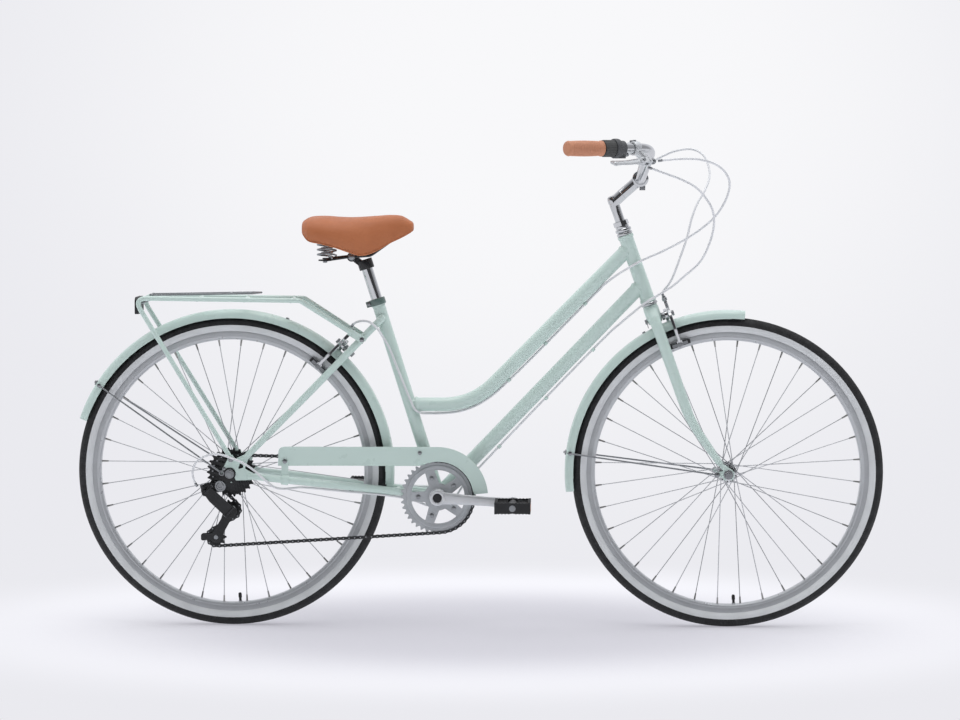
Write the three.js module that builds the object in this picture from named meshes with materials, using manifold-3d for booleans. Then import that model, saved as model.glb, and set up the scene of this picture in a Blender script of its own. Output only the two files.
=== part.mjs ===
// Step-through bicycle with mudguards, rear rack, chainguard, caliper brakes and a
// seven-speed rear derailleur. Millimetres, +X forward, +Y to the rider's left, +Z up.
// The origin lies on the ground under the middle of the wheelbase.
import * as THREE from 'three';
import { mergeVertices } from 'three/addons/utils/BufferGeometryUtils.js';
import Module from 'manifold-3d';

const wasm = await Module();
wasm.setup();

// Driving dimensions, whole bicycle
const wheelbase = 1115;
const tyreRadius = 349;
const bottomBracketAhead = 465.4; // ahead of the rear axle
const bottomBracketDrop = 52.5; // below the axles
const headAngle = THREE.MathUtils.degToRad(70.5);
const seatAngle = THREE.MathUtils.degToRad(72.5);
const forkRake = 40.2;
const forkLength = 412.1; // crown race to axle along the steering axis

// Clearances between pieces
const fitGap = 0.3; // between touching pieces
const sunk = 1; // how far a joined piece reaches into its neighbour
const overrun = 4; // how far a cutter runs past what it cuts
const weld = 0.0005; // vertices closer than this are one
const turningGap = 0.6; // beside a piece that turns

// Facet counts
const wheelSides = 28;
const roundSides = 10;
const smallSides = 8;
const boltSides = 6;
const cableSides = 5;
const bendSteps = 3;

// Tyres and rims
const tyreHalfWidth = 19;
const tyreWall = 3.4;
const treadShoulder = 5; // below the crown of the tread
const rimOuterRadius = 316.6;
const rimInnerRadius = 297.4;
const rimHalfWidth = 12;
const rimWall = 2;
const rimFloor = 3;
const beadDepth = 6;

// Spokes, hubs and axles
const spokesPerSide = 18;
const spokeCrossAngle = THREE.MathUtils.degToRad(60);
const spokeRadius = 1.3;
const spokeLayers = 3.4; // between leading and trailing spokes
const spokeRingHalf = 3;
const spokeHoleInset = 3; // from the rim of the flange
const spokeLag = 4.1; // degrees by which the first spoke trails the forward direction
const flangeRadius = 21;
const flangeThickness = 3;
const hubShellRadius = 10;
const frontFlangeOut = 32; // flange centre from the middle plane
const rearFlangeLeft = 34;
const rearFlangeRight = 19;
const frontDropoutIn = 50; // inner face of the fork ends
const rearDropoutIn = 65;
const axleRadius = 4.8;
const axleNutRadius = 8.5;
const axleNutHeight = 8;
const axleEnd = 3; // thread beyond the nut
const lockNutRadius = 8;
const frontEndThickness = 4;
const dropoutThickness = 5;

// Frame tubes
const headTubeRadius = 16;
const headTubeLength = 158;
const headTubeStart = 9; // above the crown race
const steererRadius = 12.7;
const topTubeRadius = 15.9;
const topTubeHeadHeight = 138; // along the steering axis above the crown race
const topTubeSlope = THREE.MathUtils.degToRad(45.2);
const topTubeSeatHeight = 204; // above the bottom bracket
const topTubeBend = 180;
const downTubeRadius = 15.9;
const downTubeHeadHeight = 51.5;
const seatTubeRadius = 14.3;
const seatTubeLength = 464;
const seatPostRadius = 12.7;
const seatPostInside = 175;
const seatPostDrop = 62; // room below it in the seat tube
const seatPostOutside = 92;
const shellRadius = 20;
const shellHalfWidth = 34;
const cartridgeRadius = 16.5;
const spindleRadius = 8;
const stayRadius = 8.5;
const stayEndDistance = 42; // from the rear axle to the tube ends
const dropoutMid = rearDropoutIn + dropoutThickness / 2 + fitGap;
const chainStayWaist = { near: 345, far: 382, nearSide: 34.5, farSide: 33, end: 448, endSide: 26 };
const seatStayTopHeight = 419; // along the seat tube above the bottom bracket
const seatStayTopSide = 21;
const bridgeDistance = 378; // brake bridge from the rear axle
const bridgeSide = 38;
const bridgeRadius = 7;
const stayBridgeDistance = 375;
const stayBridgeRadius = 6;
const slotAngle = THREE.MathUtils.degToRad(60); // of the axle slot below the horizontal
const hangerDrop = 27;
const hangerBack = 20.5;
const hangerRadius = 9;

// Mudguards
const guardRadius = 366;
const forkEyeletOut = 3; // out from the fork end
const frameEyeletOut = 3.2; // out from the dropout
const frameEyeletUp = 2; // above the rear axle
const guardHalfWidth = 23;
const guardDepth = 19;
const guardSkin = 1.2;
const guardShoulder = 8;
const guardSteps = 12;
const guardStayRadius = 2;
const frontGuardAngles = [84, 187].map(THREE.MathUtils.degToRad);
const rearGuardAngles = [-4.6, 161].map(THREE.MathUtils.degToRad);
const frontStayAngle = THREE.MathUtils.degToRad(173);
const rearStayAngle = THREE.MathUtils.degToRad(147);
const stayClipHalf = 6;

// Brakes
const boltHeightFront = -32.5; // along the steering axis from the crown race
const caliperOutFront = 24; // arm face from the steering axis
const caliperOutRear = 16; // arm face from the bridge axis
const armThickness = 7.5;
const armWidth = 11;
const armGap = 0.5;
const caliperReach = 70.6;
const armSpread = 34;
const padGap = 2.2;
const padHeight = 9;
const padLength = 48;
const padThickness = 9;
const padOut = 11; // pad centre from the arm face
const boltRadius = 3;
const boltHeadRadius = 6;
const boltHeadHeight = 5;
const bossRadius = 9;
const shoeBoltRadius = 4;
const barrelSide = 14;
const barrelHeight = 28;
const barrelLength = 14;
const barrelRadius = 4;

// Steering: fork, headset, stem, bar
const crownLength = 44;
const bladeTopRadius = 12.5;
const bladeEndRadius = 7.3;
const bladeFlatShare = 0.85;
const bladeShoulder = [
  { along: -12, side: 12 }, { along: -26, side: 29 }, { along: -44, side: 38 }, { along: -70, side: 40 },
];
const bladeBendAlong = -242; // where the blade leaves the steering axis
const bladeBendSide = 46;
const bladeBendKnee = -294;
const bladeEndSide = 52;
const bladeEndShort = 25; // blade end above the axle
const lowerCupRadius = 19;
const cupWall = 5;
const cupHeight = 8;
const lockStackHeight = 26;
const lockStackRadius = 18.5;
const steererTop = headTubeStart + headTubeLength + cupHeight + lockStackHeight;
const quillRadius = 11.1;
const quillBottom = 105;
const stemElbowHeight = 246;
const stemExtensionRadius = 12.5;
const barClampAhead = 359.7; // of the origin
const barClampHeight = 1008;
const barClampRadius = 19;
const barClampHalfWidth = 20;
const barRadius = 11.1;
const barCentreRadius = 12.7;
const barStraightHalf = 40;
const barKnee = { x: 382, y: 170, z: 1075.6 };
const barEnd = { x: 197, y: 299.5 };
const barBend = 50;

// Grips, levers and shifter, measured along the bar from its end
const gripRadius = 17.3;
const rightGripLength = 90;
const leftGripLength = 125;
const twistStart = 92;
const twistLength = 28;
const twistRadius = 18.5;
const shifterLength = 28;
const shifterRadius = 21.5;
const leverClampAt = 180;
const leverClampRadius = 15.5;
const leverClampLength = 16;
const leverForward = 28;
const leverDrop = 28;
const leverLength = 76;
const leverThickness = 6;
const leverWidth = 11;
const leverPinRadius = 2.4;
const cheekThickness = 3.5;
const cheekRadius = 8;
const leverBarrelRun = 33;

// Cranks, chainring and pedals
const pitch = 12.7;
const ringTeeth = 40;
const sprocketTeeth = [14, 16, 18, 20, 22, 24, 26];
const drivenTeeth = 20;
const toothedSprockets = [14, 20, 26]; // the outermost, the driven and the innermost show their teeth
const jockeyTeeth = 10;
const sprocketSpacing = 5;
const outerSprocketSide = 60;
const toothPlate = 2.2;
const toothHeight = 3.2;
const rootDepth = 3.4;
const chainLine = outerSprocketSide - sprocketTeeth.indexOf(drivenTeeth) * sprocketSpacing;
const ringWindowInner = 27;
const ringWindowOuter = 60;
const ringArms = 5;
const ringArmWidth = 20;
const crankLength = 170;
const crankDownAngle = THREE.MathUtils.degToRad(-3.5);
const crankBossRadius = 19.5;
const crankBossDeeper = 6; // how far the left boss reaches in past its arm
const crankEyeRadius = 14;
const crankThickness = 12.5;
const crankInnerAtBoss = 60;
const crankSplay = 10; // further out at the pedal than at the boss
const ringBossRadius = 17;
const pedalAxleRadius = 5;
const pedalClear = 5; // from crank face to pedal body
const pedalLength = 80;
const pedalWidth = 95;
const pedalThickness = 27;
const pedalBarrelRadius = 10.5;
const pedalBarWidth = 9;

// Chain
const chainHeight = 8;
const chainPlate = 1.2;
const chainInnerHalf = 2;
const rollerRadius = 3.4;
const rollerEvery = 6;

// Chainguard
const guardPlateSide = 57;
const guardPlate = 2;
const guardOuterRadius = 113;
const guardInnerRadius = 81.5;
const guardTail = -449; // its rear end from the origin
const guardTailBottom = 367;
const guardMouth = THREE.MathUtils.degToRad(5);
const guardFlange = 6;
const strapWidth = 16;
const strapAhead = 124; // of the rear axle
const strapThickness = 3;

// Derailleur
const knucklePivot = { back: 48.2, drop: 35.7 }; // from the rear axle
const cagePivot = { back: -0.5, drop: 83 };
const lowerJockey = { back: 33.3, drop: 144.7 };
const knuckleRadius = 13;
const knuckleInner = 71.2;
const knuckleOuter = 75;
const linkSide = 82;
const linkThickness = 5;
const linkHalfWidth = 11;
const linkBarrelRadius = 4;
const linkPinRadius = 2.2;
const earThickness = 3;
const earOut = 86;
const cageHalf = 5;
const cagePlate = 1.6;
const cageEndRadius = 10;
const cageTabBack = 32; // behind the lower jockey wheel
const cageTabRadius = 2.4;
const jockeyBore = 2.6;
const jockeyHubRadius = 7;
const jockeyHubHalf = 4.3;

// Rack, clip and reflector
const rackTubeRadius = 5.5;
const rackRailHeight = 742;
const rackFrontHeight = 737;
const rackRear = -772;
const rackFront = -399;
const rackHalfWidth = 60;
const rackFootSide = 76;
const rackFoot = { back: -4.5, up: 34 }; // from the rear axle
const rackBend = 18;
const rackArmEnd = { x: -284, z: 663.5, side: 46 };
const rackPlateEnd = { x: -258, z: 647 };
const rackPlateWidth = 18;
const rackPlateThickness = 4;
const rackCrossAt = [-736, -630, -525, -420];
const clipRadius = 2.3;
const clipBarrelRadius = 3;
const clipHalfWidth = 28;
const clipHinge = { x: -738, z: 747.4 };
const clipTip = -489;
const clipRise = 4;
const clipShoulder = 20; // from the tip back to the straight sides
const reflectorHeight = 38;
const reflectorHalfWidth = 44;
const reflectorThickness = 9;

// Saddle
const railRadius = 3.5;
const railGauge = 22;
const springCentre = { x: -343, side: 55 };
const springSeat = 829;
const springWire = 2.2;
const springRadius = 16.5;
const springTurns = 4;
const springPitch = 11;
const springTurnSteps = 8;
const springSides = 5;
const washerRadius = 15;
const washerThickness = 3;
const saddleClamp = { x: -286, z: 833, radius: 10.5 };
const clampRingRadius = 18;
const clampRingHeight = 22;
// Stations of the cushion from tail to nose: place, top, lowest edge, underside, half width
const saddleStations = [
  { x: -391, top: 916, hem: 884, under: 886, half: 72 },
  { x: -378, top: 923, hem: 869, under: 885, half: 92 },
  { x: -348, top: 925, hem: 862, under: 885, half: 102 },
  { x: -316, top: 923, hem: 853, under: 885, half: 100 },
  { x: -289, top: 922, hem: 843, under: 884, half: 91 },
  { x: -262, top: 923, hem: 835, under: 884, half: 77 },
  { x: -232, top: 925, hem: 843, under: 885, half: 60 },
  { x: -200, top: 927, hem: 862, under: 887, half: 44 },
  { x: -174, top: 925, hem: 875, under: 889, half: 34 },
  { x: -155, top: 914, hem: 887, under: 891, half: 24 },
];
const saddleTail = { x: -395, z: 900 };
const saddleNose = { x: -147, z: 901 };
// Half section of the cushion: share of the half width, share of the height to the hem or underside
const cushionShares = [
  [0, 0, 'hem'], [0.38, 0.02, 'hem'], [0.68, 0.08, 'hem'], [0.89, 0.24, 'hem'], [1, 0.52, 'hem'],
  [0.97, 0.86, 'hem'], [0.92, 1, 'hem'], [0.86, 0.88, 'hem'], [0.8, 0.96, 'under'], [0.5, 1, 'under'],
];
const noseRailEnd = { x: -176, z: 885, side: 8 };

// Cables, points along their routes
const cableRadius = 2.5;
const rearBrakeRoute = [
  [394, -199, 1049], [447, -190, 1053], [489, -176, 1051], [526, -158, 1038],
  [548, -140, 1015], [553, -126, 993], [545, -110, 962], [524, -91, 927], [498, -74, 902],
  [463, -57, 877], [409, -36, 847], [365, -22, 827], [338, -20, 812], [312, -17, 796],
  [284, -7, 775], [262, 0, 753], [56, 0, 545.4],
  [18, 0, 513.6], [-16, 0, 494.6], [-52, 0, 484], [-90, 0, 480.6], [-112, -2, 480.6],
  [-130, -10, 482], [-144, -18.5, 490], [-156, -19.2, 515], [-187, -19.4, 592],
  [-202, -23, 630], [-216, -31, 655], [-229, -38, 675], [-243, -36.5, 687], [-259, -24, 690],
  [-274, -5, 687], [-283, 8, 682], [-289.5, 13.8, 675],
];
const shiftRoute = [
  [372, -196, 1035], [414, -186, 1020], [448, -174, 1007], [479, -158, 990],
  [502, -140, 965], [516, -124, 940], [520, -106, 909], [513, -89, 872], [492, -69, 826],
  [457, -50, 792], [432, -39, 770], [398, -29, 748], [368, -24, 729], [340, -22, 706],
  [311, -14, 681], [296, -12, 668], [4, -12, 364.5], [-34, -12, 322],
  [-56, -12, 290], [-72, -14, 276], [-92, -20, 270.5], [-116, -27, 275], [-150, -32.5, 288],
  [-190, -35, 296], [-300, -44.5, 308], [-400, -55, 317.5], [-418, -57.5, 316], [-442, -61, 315],
  [-457, -65, 319], [-470, -71, 329], [-484, -77, 342], [-500, -81, 357], [-524, -84, 374],
  [-551, -90, 386.5], [-581, -95, 396], [-608, -96, 392],
  [-629, -94, 378], [-638, -90, 356], [-636, -86, 338], [-628.5, -82.5, 322],
];
const frontBrakeRoute = [
  [387.9, 200.1, 1047.6], [399, 192.5, 1050], [417, 188, 1059], [441, 183, 1069], [480, 168, 1074],
  [507, 142, 1059], [519, 105, 1017], [508, 77, 983], [489, 56, 951], [476, 42, 917], [466, 32, 877],
  [446, 21, 820], [432, 16, 784], [423, 14.5, 769], [414.5, 14, 759], [410.7, 14, 750.3],
  [412.4, 14, 745.4],
];

// Finishes
const paint = (color, roughness, metalness) => new THREE.MeshStandardMaterial({ color, roughness,
    metalness });
const mint = paint('#bccfc8', 0.4, 0.1);
const chrome = paint('#d3d5d6', 0.2, 1);
const alloy = paint('#b9bbbc', 0.35, 0.9);
const darkSteel = paint('#2a2b2c', 0.5, 0.7);
const steel = paint('#8d8f91', 0.4, 0.9);
const blackPlastic = paint('#1d1e1f', 0.6, 0);
const tan = paint('#c17d50', 0.6, 0);
const rubber = paint('#191a1b', 0.85, 0);
const housing = paint('#d9dcdb', 0.5, 0);

// Vectors, directions and reference points
const v3 = (x, y, z) => new THREE.Vector3(x, y, z);
const upward = v3(0, 0, 1);
const sideways = v3(0, 1, 0);
const forward = v3(1, 0, 0);
const along = (from, direction, distance) => from.clone().addScaledVector(direction, distance);
const aside = (point, y) => v3(point.x, y, point.z);
const leaning = (angle) => v3(-Math.cos(angle), 0, Math.sin(angle));
const ahead = (angle) => v3(Math.sin(angle), 0, Math.cos(angle));
const atAngle = (centre, radius, angle, y = 0) =>
  v3(centre.x + radius * Math.cos(angle), y, centre.z + radius * Math.sin(angle));

const rearAxle = v3(-wheelbase / 2, 0, tyreRadius);
const frontAxle = v3(wheelbase / 2, 0, tyreRadius);
const crankCentre = v3(rearAxle.x + bottomBracketAhead, 0, tyreRadius - bottomBracketDrop);
const headUp = leaning(headAngle);
const headFore = ahead(headAngle);
const seatUp = leaning(seatAngle);
const crownRace = along(along(frontAxle, headFore, -forkRake), headUp, forkLength);
const onHead = (height, fore = 0, side = 0) =>
  aside(along(along(crownRace, headUp, height), headFore, fore), side);
const onSeat = (height) => along(crankCentre, seatUp, height);
const chainStayWay = crankCentre.clone().sub(rearAxle).normalize();
const seatStayTop = onSeat(seatStayTopHeight);
const seatStayWay = seatStayTop.clone().sub(rearAxle).normalize();
const caliperRearWay = v3(-seatStayWay.z, 0, seatStayWay.x); // out of the bridge, rearwards
const pitchRadius = (teeth) => pitch / (2 * Math.sin(Math.PI / teeth));
const boreFor = (radius, sides, gap = fitGap) => (radius + gap) / Math.cos(Math.PI / sides);
const fromAxle = ({ back, drop }) => v3(rearAxle.x - back, 0, rearAxle.z - drop);

// A closed shape becomes a solid with its faces pointing out
function solidOf(shape) {
  if (!shape.isBufferGeometry) return shape;
  const bare = shape.clone();
  bare.deleteAttribute('normal');
  bare.deleteAttribute('uv');
  const merged = mergeVertices(bare, weld);
  const place = merged.attributes.position;
  const index = merged.index.array;
  const faces = [];
  let volume = 0;
  const [a, b, c] = [v3(), v3(), v3()];
  for (let i = 0; i < index.length; i += 3) {
    const [p, q, r] = [index[i], index[i + 1], index[i + 2]];
    if (p === q || q === r || r === p) continue;
    faces.push(p, q, r);
    a.fromBufferAttribute(place, p);
    b.fromBufferAttribute(place, q);
    c.fromBufferAttribute(place, r);
    volume += a.dot(b.cross(c));
  }
  if (volume < 0) {
    for (let i = 0; i < faces.length; i += 3) [faces[i], faces[i + 1]] = [faces[i + 1], faces[i]];
  }
  const mesh = new wasm.Mesh({
    numProp: 3,
    vertProperties: new Float32Array(place.array),
    triVerts: Uint32Array.from(faces),
  });
  return new wasm.Manifold(mesh);
}

const join = (...shapes) => shapes.flat().map(solidOf).reduce((all, next) => all.add(next));
const cut = (base, ...tools) => tools.flat().map(solidOf)
  .reduce((left, tool) => left.subtract(tool), solidOf(base));

function geometryOf(shape) {
  const mesh = solidOf(shape).getMesh();
  const geometry = new THREE.BufferGeometry();
  geometry.setAttribute('position', new THREE.BufferAttribute(new Float32Array(mesh.vertProperties), 3));
  geometry.setIndex(new THREE.BufferAttribute(new Uint32Array(mesh.triVerts), 1));
  geometry.computeVertexNormals();
  return geometry;
}

// Basic shapes
function rod(from, to, radius, sides = roundSides, endRadius = radius) {
  const way = to.clone().sub(from);
  const shape = new THREE.CylinderGeometry(endRadius, radius, way.length(), sides);
  shape.applyQuaternion(new THREE.Quaternion().setFromUnitVectors(sideways, way.clone().normalize()));
  const middle = along(from, way, 1 / 2);
  return shape.translate(middle.x, middle.y, middle.z);
}

function acrossRod(centre, yFrom, yTo, radius, sides = roundSides) {
  return rod(aside(centre, yFrom), aside(centre, yTo), radius, sides);
}

// A bar of rectangular section: width along the given direction, thickness across both
function strip(from, to, widthWay, width, thickness, overshoot = 0) {
  const way = to.clone().sub(from);
  const run = way.clone().normalize();
  const wide = widthWay.clone().addScaledVector(run, -widthWay.dot(run)).normalize();
  const thick = run.clone().cross(wide);
  const shape = new THREE.BoxGeometry(way.length() + 2 * overshoot, width, thickness);
  shape.applyMatrix4(new THREE.Matrix4().makeBasis(run, wide, thick));
  const middle = along(from, way, 1 / 2);
  return shape.translate(middle.x, middle.y, middle.z);
}

// A curve that passes through its points, with a ring at each
class Route extends THREE.Curve {
  constructor(points) {
    super();
    this.points = points;
  }

  nearest(u) {
    return Math.round(u * (this.points.length - 1));
  }

  getPointAt(u, target = v3()) {
    return target.copy(this.points[this.nearest(u)]);
  }

  getTangentAt(u, target = v3()) {
    const i = this.nearest(u);
    const here = this.points[i];
    const before = this.points[Math.max(i - 1, 0)];
    const after = this.points[Math.min(i + 1, this.points.length - 1)];
    const arriving = here.clone().sub(before).normalize();
    const leaving = after.clone().sub(here).normalize();
    return target.copy(arriving.add(leaving).normalize());
  }
}

function ringPoints(radius, sides) {
  const turn = (2 * Math.PI) / sides;
  return Array.from({ length: sides }, (_, i) =>
    new THREE.Vector2(radius * Math.cos(i * turn), radius * Math.sin(i * turn)));
}

function swept(section, points) {
  return new THREE.ExtrudeGeometry(new THREE.Shape(section), {
    steps: points.length - 1,
    extrudePath: new Route(points),
    bevelEnabled: false,
  });
}

const tube = (points, radius, sides = roundSides) => swept(ringPoints(radius, sides), points);

// Rings of points joined into one closed skin; an apex closes an end to a point
function loft(rings, apexes = []) {
  const points = rings.flat();
  const count = rings[0].length;
  const faces = [];
  for (let k = 0; k + 1 < rings.length; k += 1) {
    for (let i = 0; i < count; i += 1) {
      const j = (i + 1) % count;
      const [a, b, c, d] = [k * count + i, k * count + j, (k + 1) * count + i, (k + 1) * count + j];
      faces.push(a, b, d, a, d, c);
    }
  }
  const middleOf = (ring) => ring.reduce((sum, p) => sum.add(p), v3(0, 0, 0)).divideScalar(count);
  const first = points.push(apexes[0] ?? middleOf(rings[0])) - 1;
  const last = points.push(apexes[1] ?? middleOf(rings.at(-1))) - 1;
  const start = (rings.length - 1) * count;
  for (let i = 0; i < count; i += 1) {
    const j = (i + 1) % count;
    faces.push(first, j, i, last, start + i, start + j);
  }
  const shape = new THREE.BufferGeometry().setFromPoints(points);
  shape.setIndex(faces);
  return shape;
}

// A tube whose radius changes from ring to ring, narrower sideways by a share
function taperedTube(points, radii, sides, flatShare = 1) {
  const route = new Route(points);
  const rings = points.map((point, i) => {
    const run = route.getTangentAt(i / (points.length - 1));
    const wide = sideways.clone().addScaledVector(run, -run.y).normalize();
    const deep = run.clone().cross(wide);
    return ringPoints(radii[i], sides).map((p) =>
      along(along(point, wide, p.x * flatShare), deep, p.y));
  });
  return loft(rings);
}

// Straight runs with their inner corners rounded to arcs
function rounded(corners, radius, steps = bendSteps) {
  const out = [corners[0].clone()];
  for (let i = 1; i < corners.length - 1; i += 1) {
    const back = corners[i - 1].clone().sub(corners[i]).normalize();
    const on = corners[i + 1].clone().sub(corners[i]).normalize();
    const half = back.angleTo(on) / 2;
    const turn = Math.PI - 2 * half;
    const centre = along(corners[i], back.clone().add(on).normalize(), radius / Math.sin(half));
    const spoke = along(corners[i], back, radius / Math.tan(half)).sub(centre);
    const axle = back.clone().negate().cross(on).normalize();
    for (let k = 0; k <= steps; k += 1) {
      out.push(centre.clone().add(spoke.clone().applyAxisAngle(axle, (turn * k) / steps)));
    }
  }
  out.push(corners.at(-1).clone());
  return out;
}

// A turned shape on an axle along Y, from pairs of radius and place
function turned(profile, sides = wheelSides) {
  const points = profile.map(([radius, y]) => new THREE.Vector2(radius, y));
  return new THREE.LatheGeometry(points, sides);
}

function turnedOn(from, way, profile, sides = roundSides) {
  const shape = turned(profile, sides);
  shape.applyQuaternion(new THREE.Quaternion().setFromUnitVectors(sideways, way.clone().normalize()));
  return shape.translate(from.x, from.y, from.z);
}

// A ring of rectangular section
const collar = (from, way, inner, outer, length, sides = roundSides) =>
  turnedOn(from, way, [[inner, 0], [outer, 0], [outer, length], [inner, length], [inner, 0]], sides);

// A plate standing in the XZ plane, from outline points, centred on a sideways place
function sidePlate(outline, y, thickness, holes = []) {
  const flat = (points) => {
    const placed = points.map((p) => new THREE.Vector2(p.x, p.z));
    return THREE.ShapeUtils.isClockWise(placed) ? placed.reverse() : placed;
  };
  const shape = new THREE.Shape(flat(outline));
  shape.holes = holes.map((hole) => new THREE.Path(flat(hole)));
  const plate = new THREE.ExtrudeGeometry(shape, { depth: thickness, bevelEnabled: false });
  plate.applyMatrix4(new THREE.Matrix4().makeBasis(forward, upward, sideways.clone().negate()));
  return plate.translate(0, y + thickness / 2, 0);
}

const circleAt = (centre, radius, sides, phase = 0) => Array.from({ length: sides }, (_, i) =>
  atAngle(centre, radius, phase + (2 * Math.PI * i) / sides));

function arcPoints(centre, radius, from, to, steps) {
  return Array.from({ length: steps + 1 }, (_, i) =>
    atAngle(centre, radius, from + ((to - from) * i) / steps));
}

const bike = new THREE.Group();

function addPart(name, shape, material, owner = bike) {
  const mesh = new THREE.Mesh(geometryOf(shape), material);
  mesh.name = name;
  owner.add(mesh);
}

// The open slot of a dropout for the axle, as points of the plate's outline
function slotNotch(centre, way, depth) {
  const across = v3(-way.z, 0, way.x);
  const radius = boreFor(axleRadius, boltSides);
  const crown = -radius * Math.cos(Math.PI / boltSides);
  return [[depth, -radius], [0, -radius], [crown, -radius / 2], [crown, radius / 2], [0, radius], [depth,
      radius]]
    .map(([on, side]) => along(along(centre, way, on), across, side));
}

// Frame
const dropoutTip = (way, distance, across) =>
  along(along(rearAxle, way, distance), v3(-way.z, 0, way.x), across);

function dropout(side) {
  const near = stayEndDistance + stayRadius;
  const half = stayRadius - fitGap;
  const isRight = side < 0;
  const hanger = v3(rearAxle.x - hangerBack, 0, rearAxle.z - hangerDrop);
  const foot = v3(rearAxle.x - rackFoot.back, 0, rearAxle.z + rackFoot.up);
  const lower = isRight
    ? [along(hanger, forward, -hangerRadius), along(hanger, upward, -hangerRadius),
      along(along(hanger, forward, hangerRadius), upward, -hangerRadius / 2)]
    : [];
  const outline = [
    dropoutTip(chainStayWay, near, -half), dropoutTip(chainStayWay, near, half),
    dropoutTip(seatStayWay, near, -half), dropoutTip(seatStayWay, near, half),
    along(foot, forward, stayRadius), along(foot, forward, -stayRadius),
    dropoutTip(forward, -2 * stayRadius, stayRadius / 2),
    dropoutTip(forward, -2 * stayRadius, -stayRadius),
    ...lower,
    dropoutTip(forward, -stayRadius, -2 * stayRadius),
    ...slotNotch(rearAxle, v3(Math.cos(slotAngle), 0, -Math.sin(slotAngle)), 2.3 * stayRadius),
  ];
  return sidePlate(outline, side * dropoutMid, dropoutThickness);
}

function chainStay(side) {
  const w = chainStayWaist;
  const stops = [[stayEndDistance, dropoutMid], [w.near, w.nearSide], [w.far, w.farSide], [w.end, w.endSide]];
  return tube(stops.map(([run, y]) => aside(along(rearAxle, chainStayWay, run), side * y)), stayRadius,
    smallSides);
}

function seatStay(side) {
  const top = rearAxle.distanceTo(seatStayTop);
  const stops = [[stayEndDistance, dropoutMid], [bridgeDistance, bridgeSide], [top, seatStayTopSide]];
  return tube(stops.map(([run, y]) => aside(along(rearAxle, seatStayWay, run), side * y)), stayRadius,
    smallSides);
}

const bridgeCentre = along(rearAxle, seatStayWay, bridgeDistance);

// The fixed centre bolt of a caliper: nut behind, boss before the arms, head outside them
function caliperBolt(centre, out, armFace, nutFace) {
  const armsEnd = armFace + 2 * armThickness + armGap + 2 * turningGap;
  const bossEnd = armFace - turningGap;
  return turnedOn(centre, out, [
    [0, nutFace - boltHeadHeight], [boltHeadRadius, nutFace - boltHeadHeight], [boltHeadRadius, nutFace],
    [boltRadius, nutFace], [boltRadius, 0], [bossRadius, 0], [bossRadius, bossEnd], [boltRadius, bossEnd],
    [boltRadius, armsEnd], [boltHeadRadius, armsEnd], [boltHeadRadius, armsEnd + boltHeadHeight],
    [0, armsEnd + boltHeadHeight],
  ], boltSides);
}

const topTubeKnee = () => {
  const start = onHead(topTubeHeadHeight);
  const drop = start.z - (crankCentre.z + topTubeSeatHeight);
  return v3(start.x - drop / Math.tan(topTubeSlope), 0, start.z - drop);
};

function frameSolid() {
  const headTop = headTubeStart + headTubeLength;
  const seatMeet = onSeat(topTubeSeatHeight / Math.sin(seatAngle));
  const topTube = tube(rounded([onHead(topTubeHeadHeight), topTubeKnee(), seatMeet], topTubeBend),
      topTubeRadius);
  const stayBridge = along(rearAxle, chainStayWay, stayBridgeDistance);
  const nutFace = -bridgeRadius - fitGap;
  return cut(
    join(
      rod(onHead(headTubeStart), onHead(headTop), headTubeRadius),
      topTube,
      rod(onHead(downTubeHeadHeight), crankCentre, downTubeRadius),
      rod(crankCentre, onSeat(seatTubeLength), seatTubeRadius),
      acrossRod(crankCentre, -shellHalfWidth, shellHalfWidth, shellRadius, roundSides),
      [-1, 1].flatMap((side) => [chainStay(side), seatStay(side), dropout(side)]),
      acrossRod(bridgeCentre, -bridgeSide, bridgeSide, bridgeRadius, smallSides),
      acrossRod(stayBridge, -chainStayWaist.nearSide, chainStayWaist.nearSide, stayBridgeRadius, smallSides),
      caliperBolt(bridgeCentre, caliperRearWay, caliperOutRear, nutFace),
    ),
    rod(onHead(headTubeStart - overrun), onHead(headTop + overrun), boreFor(steererRadius, roundSides,
        turningGap)),
    rod(onSeat(seatTubeLength - seatPostInside - seatPostDrop), onSeat(seatTubeLength + overrun),
      boreFor(seatPostRadius, roundSides)),
    acrossRod(crankCentre, -shellHalfWidth - overrun, shellHalfWidth + overrun,
      boreFor(cartridgeRadius, roundSides)),
  );
}

addPart('frame', frameSolid(), mint);

// Seat clamp, post, bottom bracket
const seatClampHeight = 15;
const seatClampWall = 3.5;
const clampEar = 9;

function seatClampSolid() {
  const inner = boreFor(seatTubeRadius, roundSides);
  const base = onSeat(seatTubeLength - seatClampHeight);
  const ear = along(along(base, seatUp, seatClampHeight / 2), ahead(seatAngle), -inner - seatClampWall);
  return cut(
    join(
      collar(base, seatUp, inner - seatClampWall / 2, inner + seatClampWall, seatClampHeight),
      acrossRod(ear, -clampEar, clampEar, seatClampWall + boltRadius, boltSides),
    ),
    rod(along(base, seatUp, -overrun), along(base, seatUp, seatClampHeight + overrun), inner),
  );
}

addPart('seat_clamp', seatClampSolid(), mint);
addPart('seatpost', rod(onSeat(seatTubeLength - seatPostInside), onSeat(seatTubeLength + seatPostOutside),
  seatPostRadius), chrome);

const cartridgeRim = 3;
const cartridgeBore = boreFor(spindleRadius, roundSides, turningGap);
addPart('bottom_bracket_cartridge', turnedOn(crankCentre, sideways, [
  [cartridgeBore, -shellHalfWidth], [cartridgeRadius, -shellHalfWidth],
  [cartridgeRadius, shellHalfWidth + fitGap], [cartridgeRadius + cartridgeRim, shellHalfWidth + fitGap],
  [cartridgeRadius + cartridgeRim, shellHalfWidth + cartridgeRim],
  [cartridgeBore, shellHalfWidth + cartridgeRim], [cartridgeBore, -shellHalfWidth],
]), steel);

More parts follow.
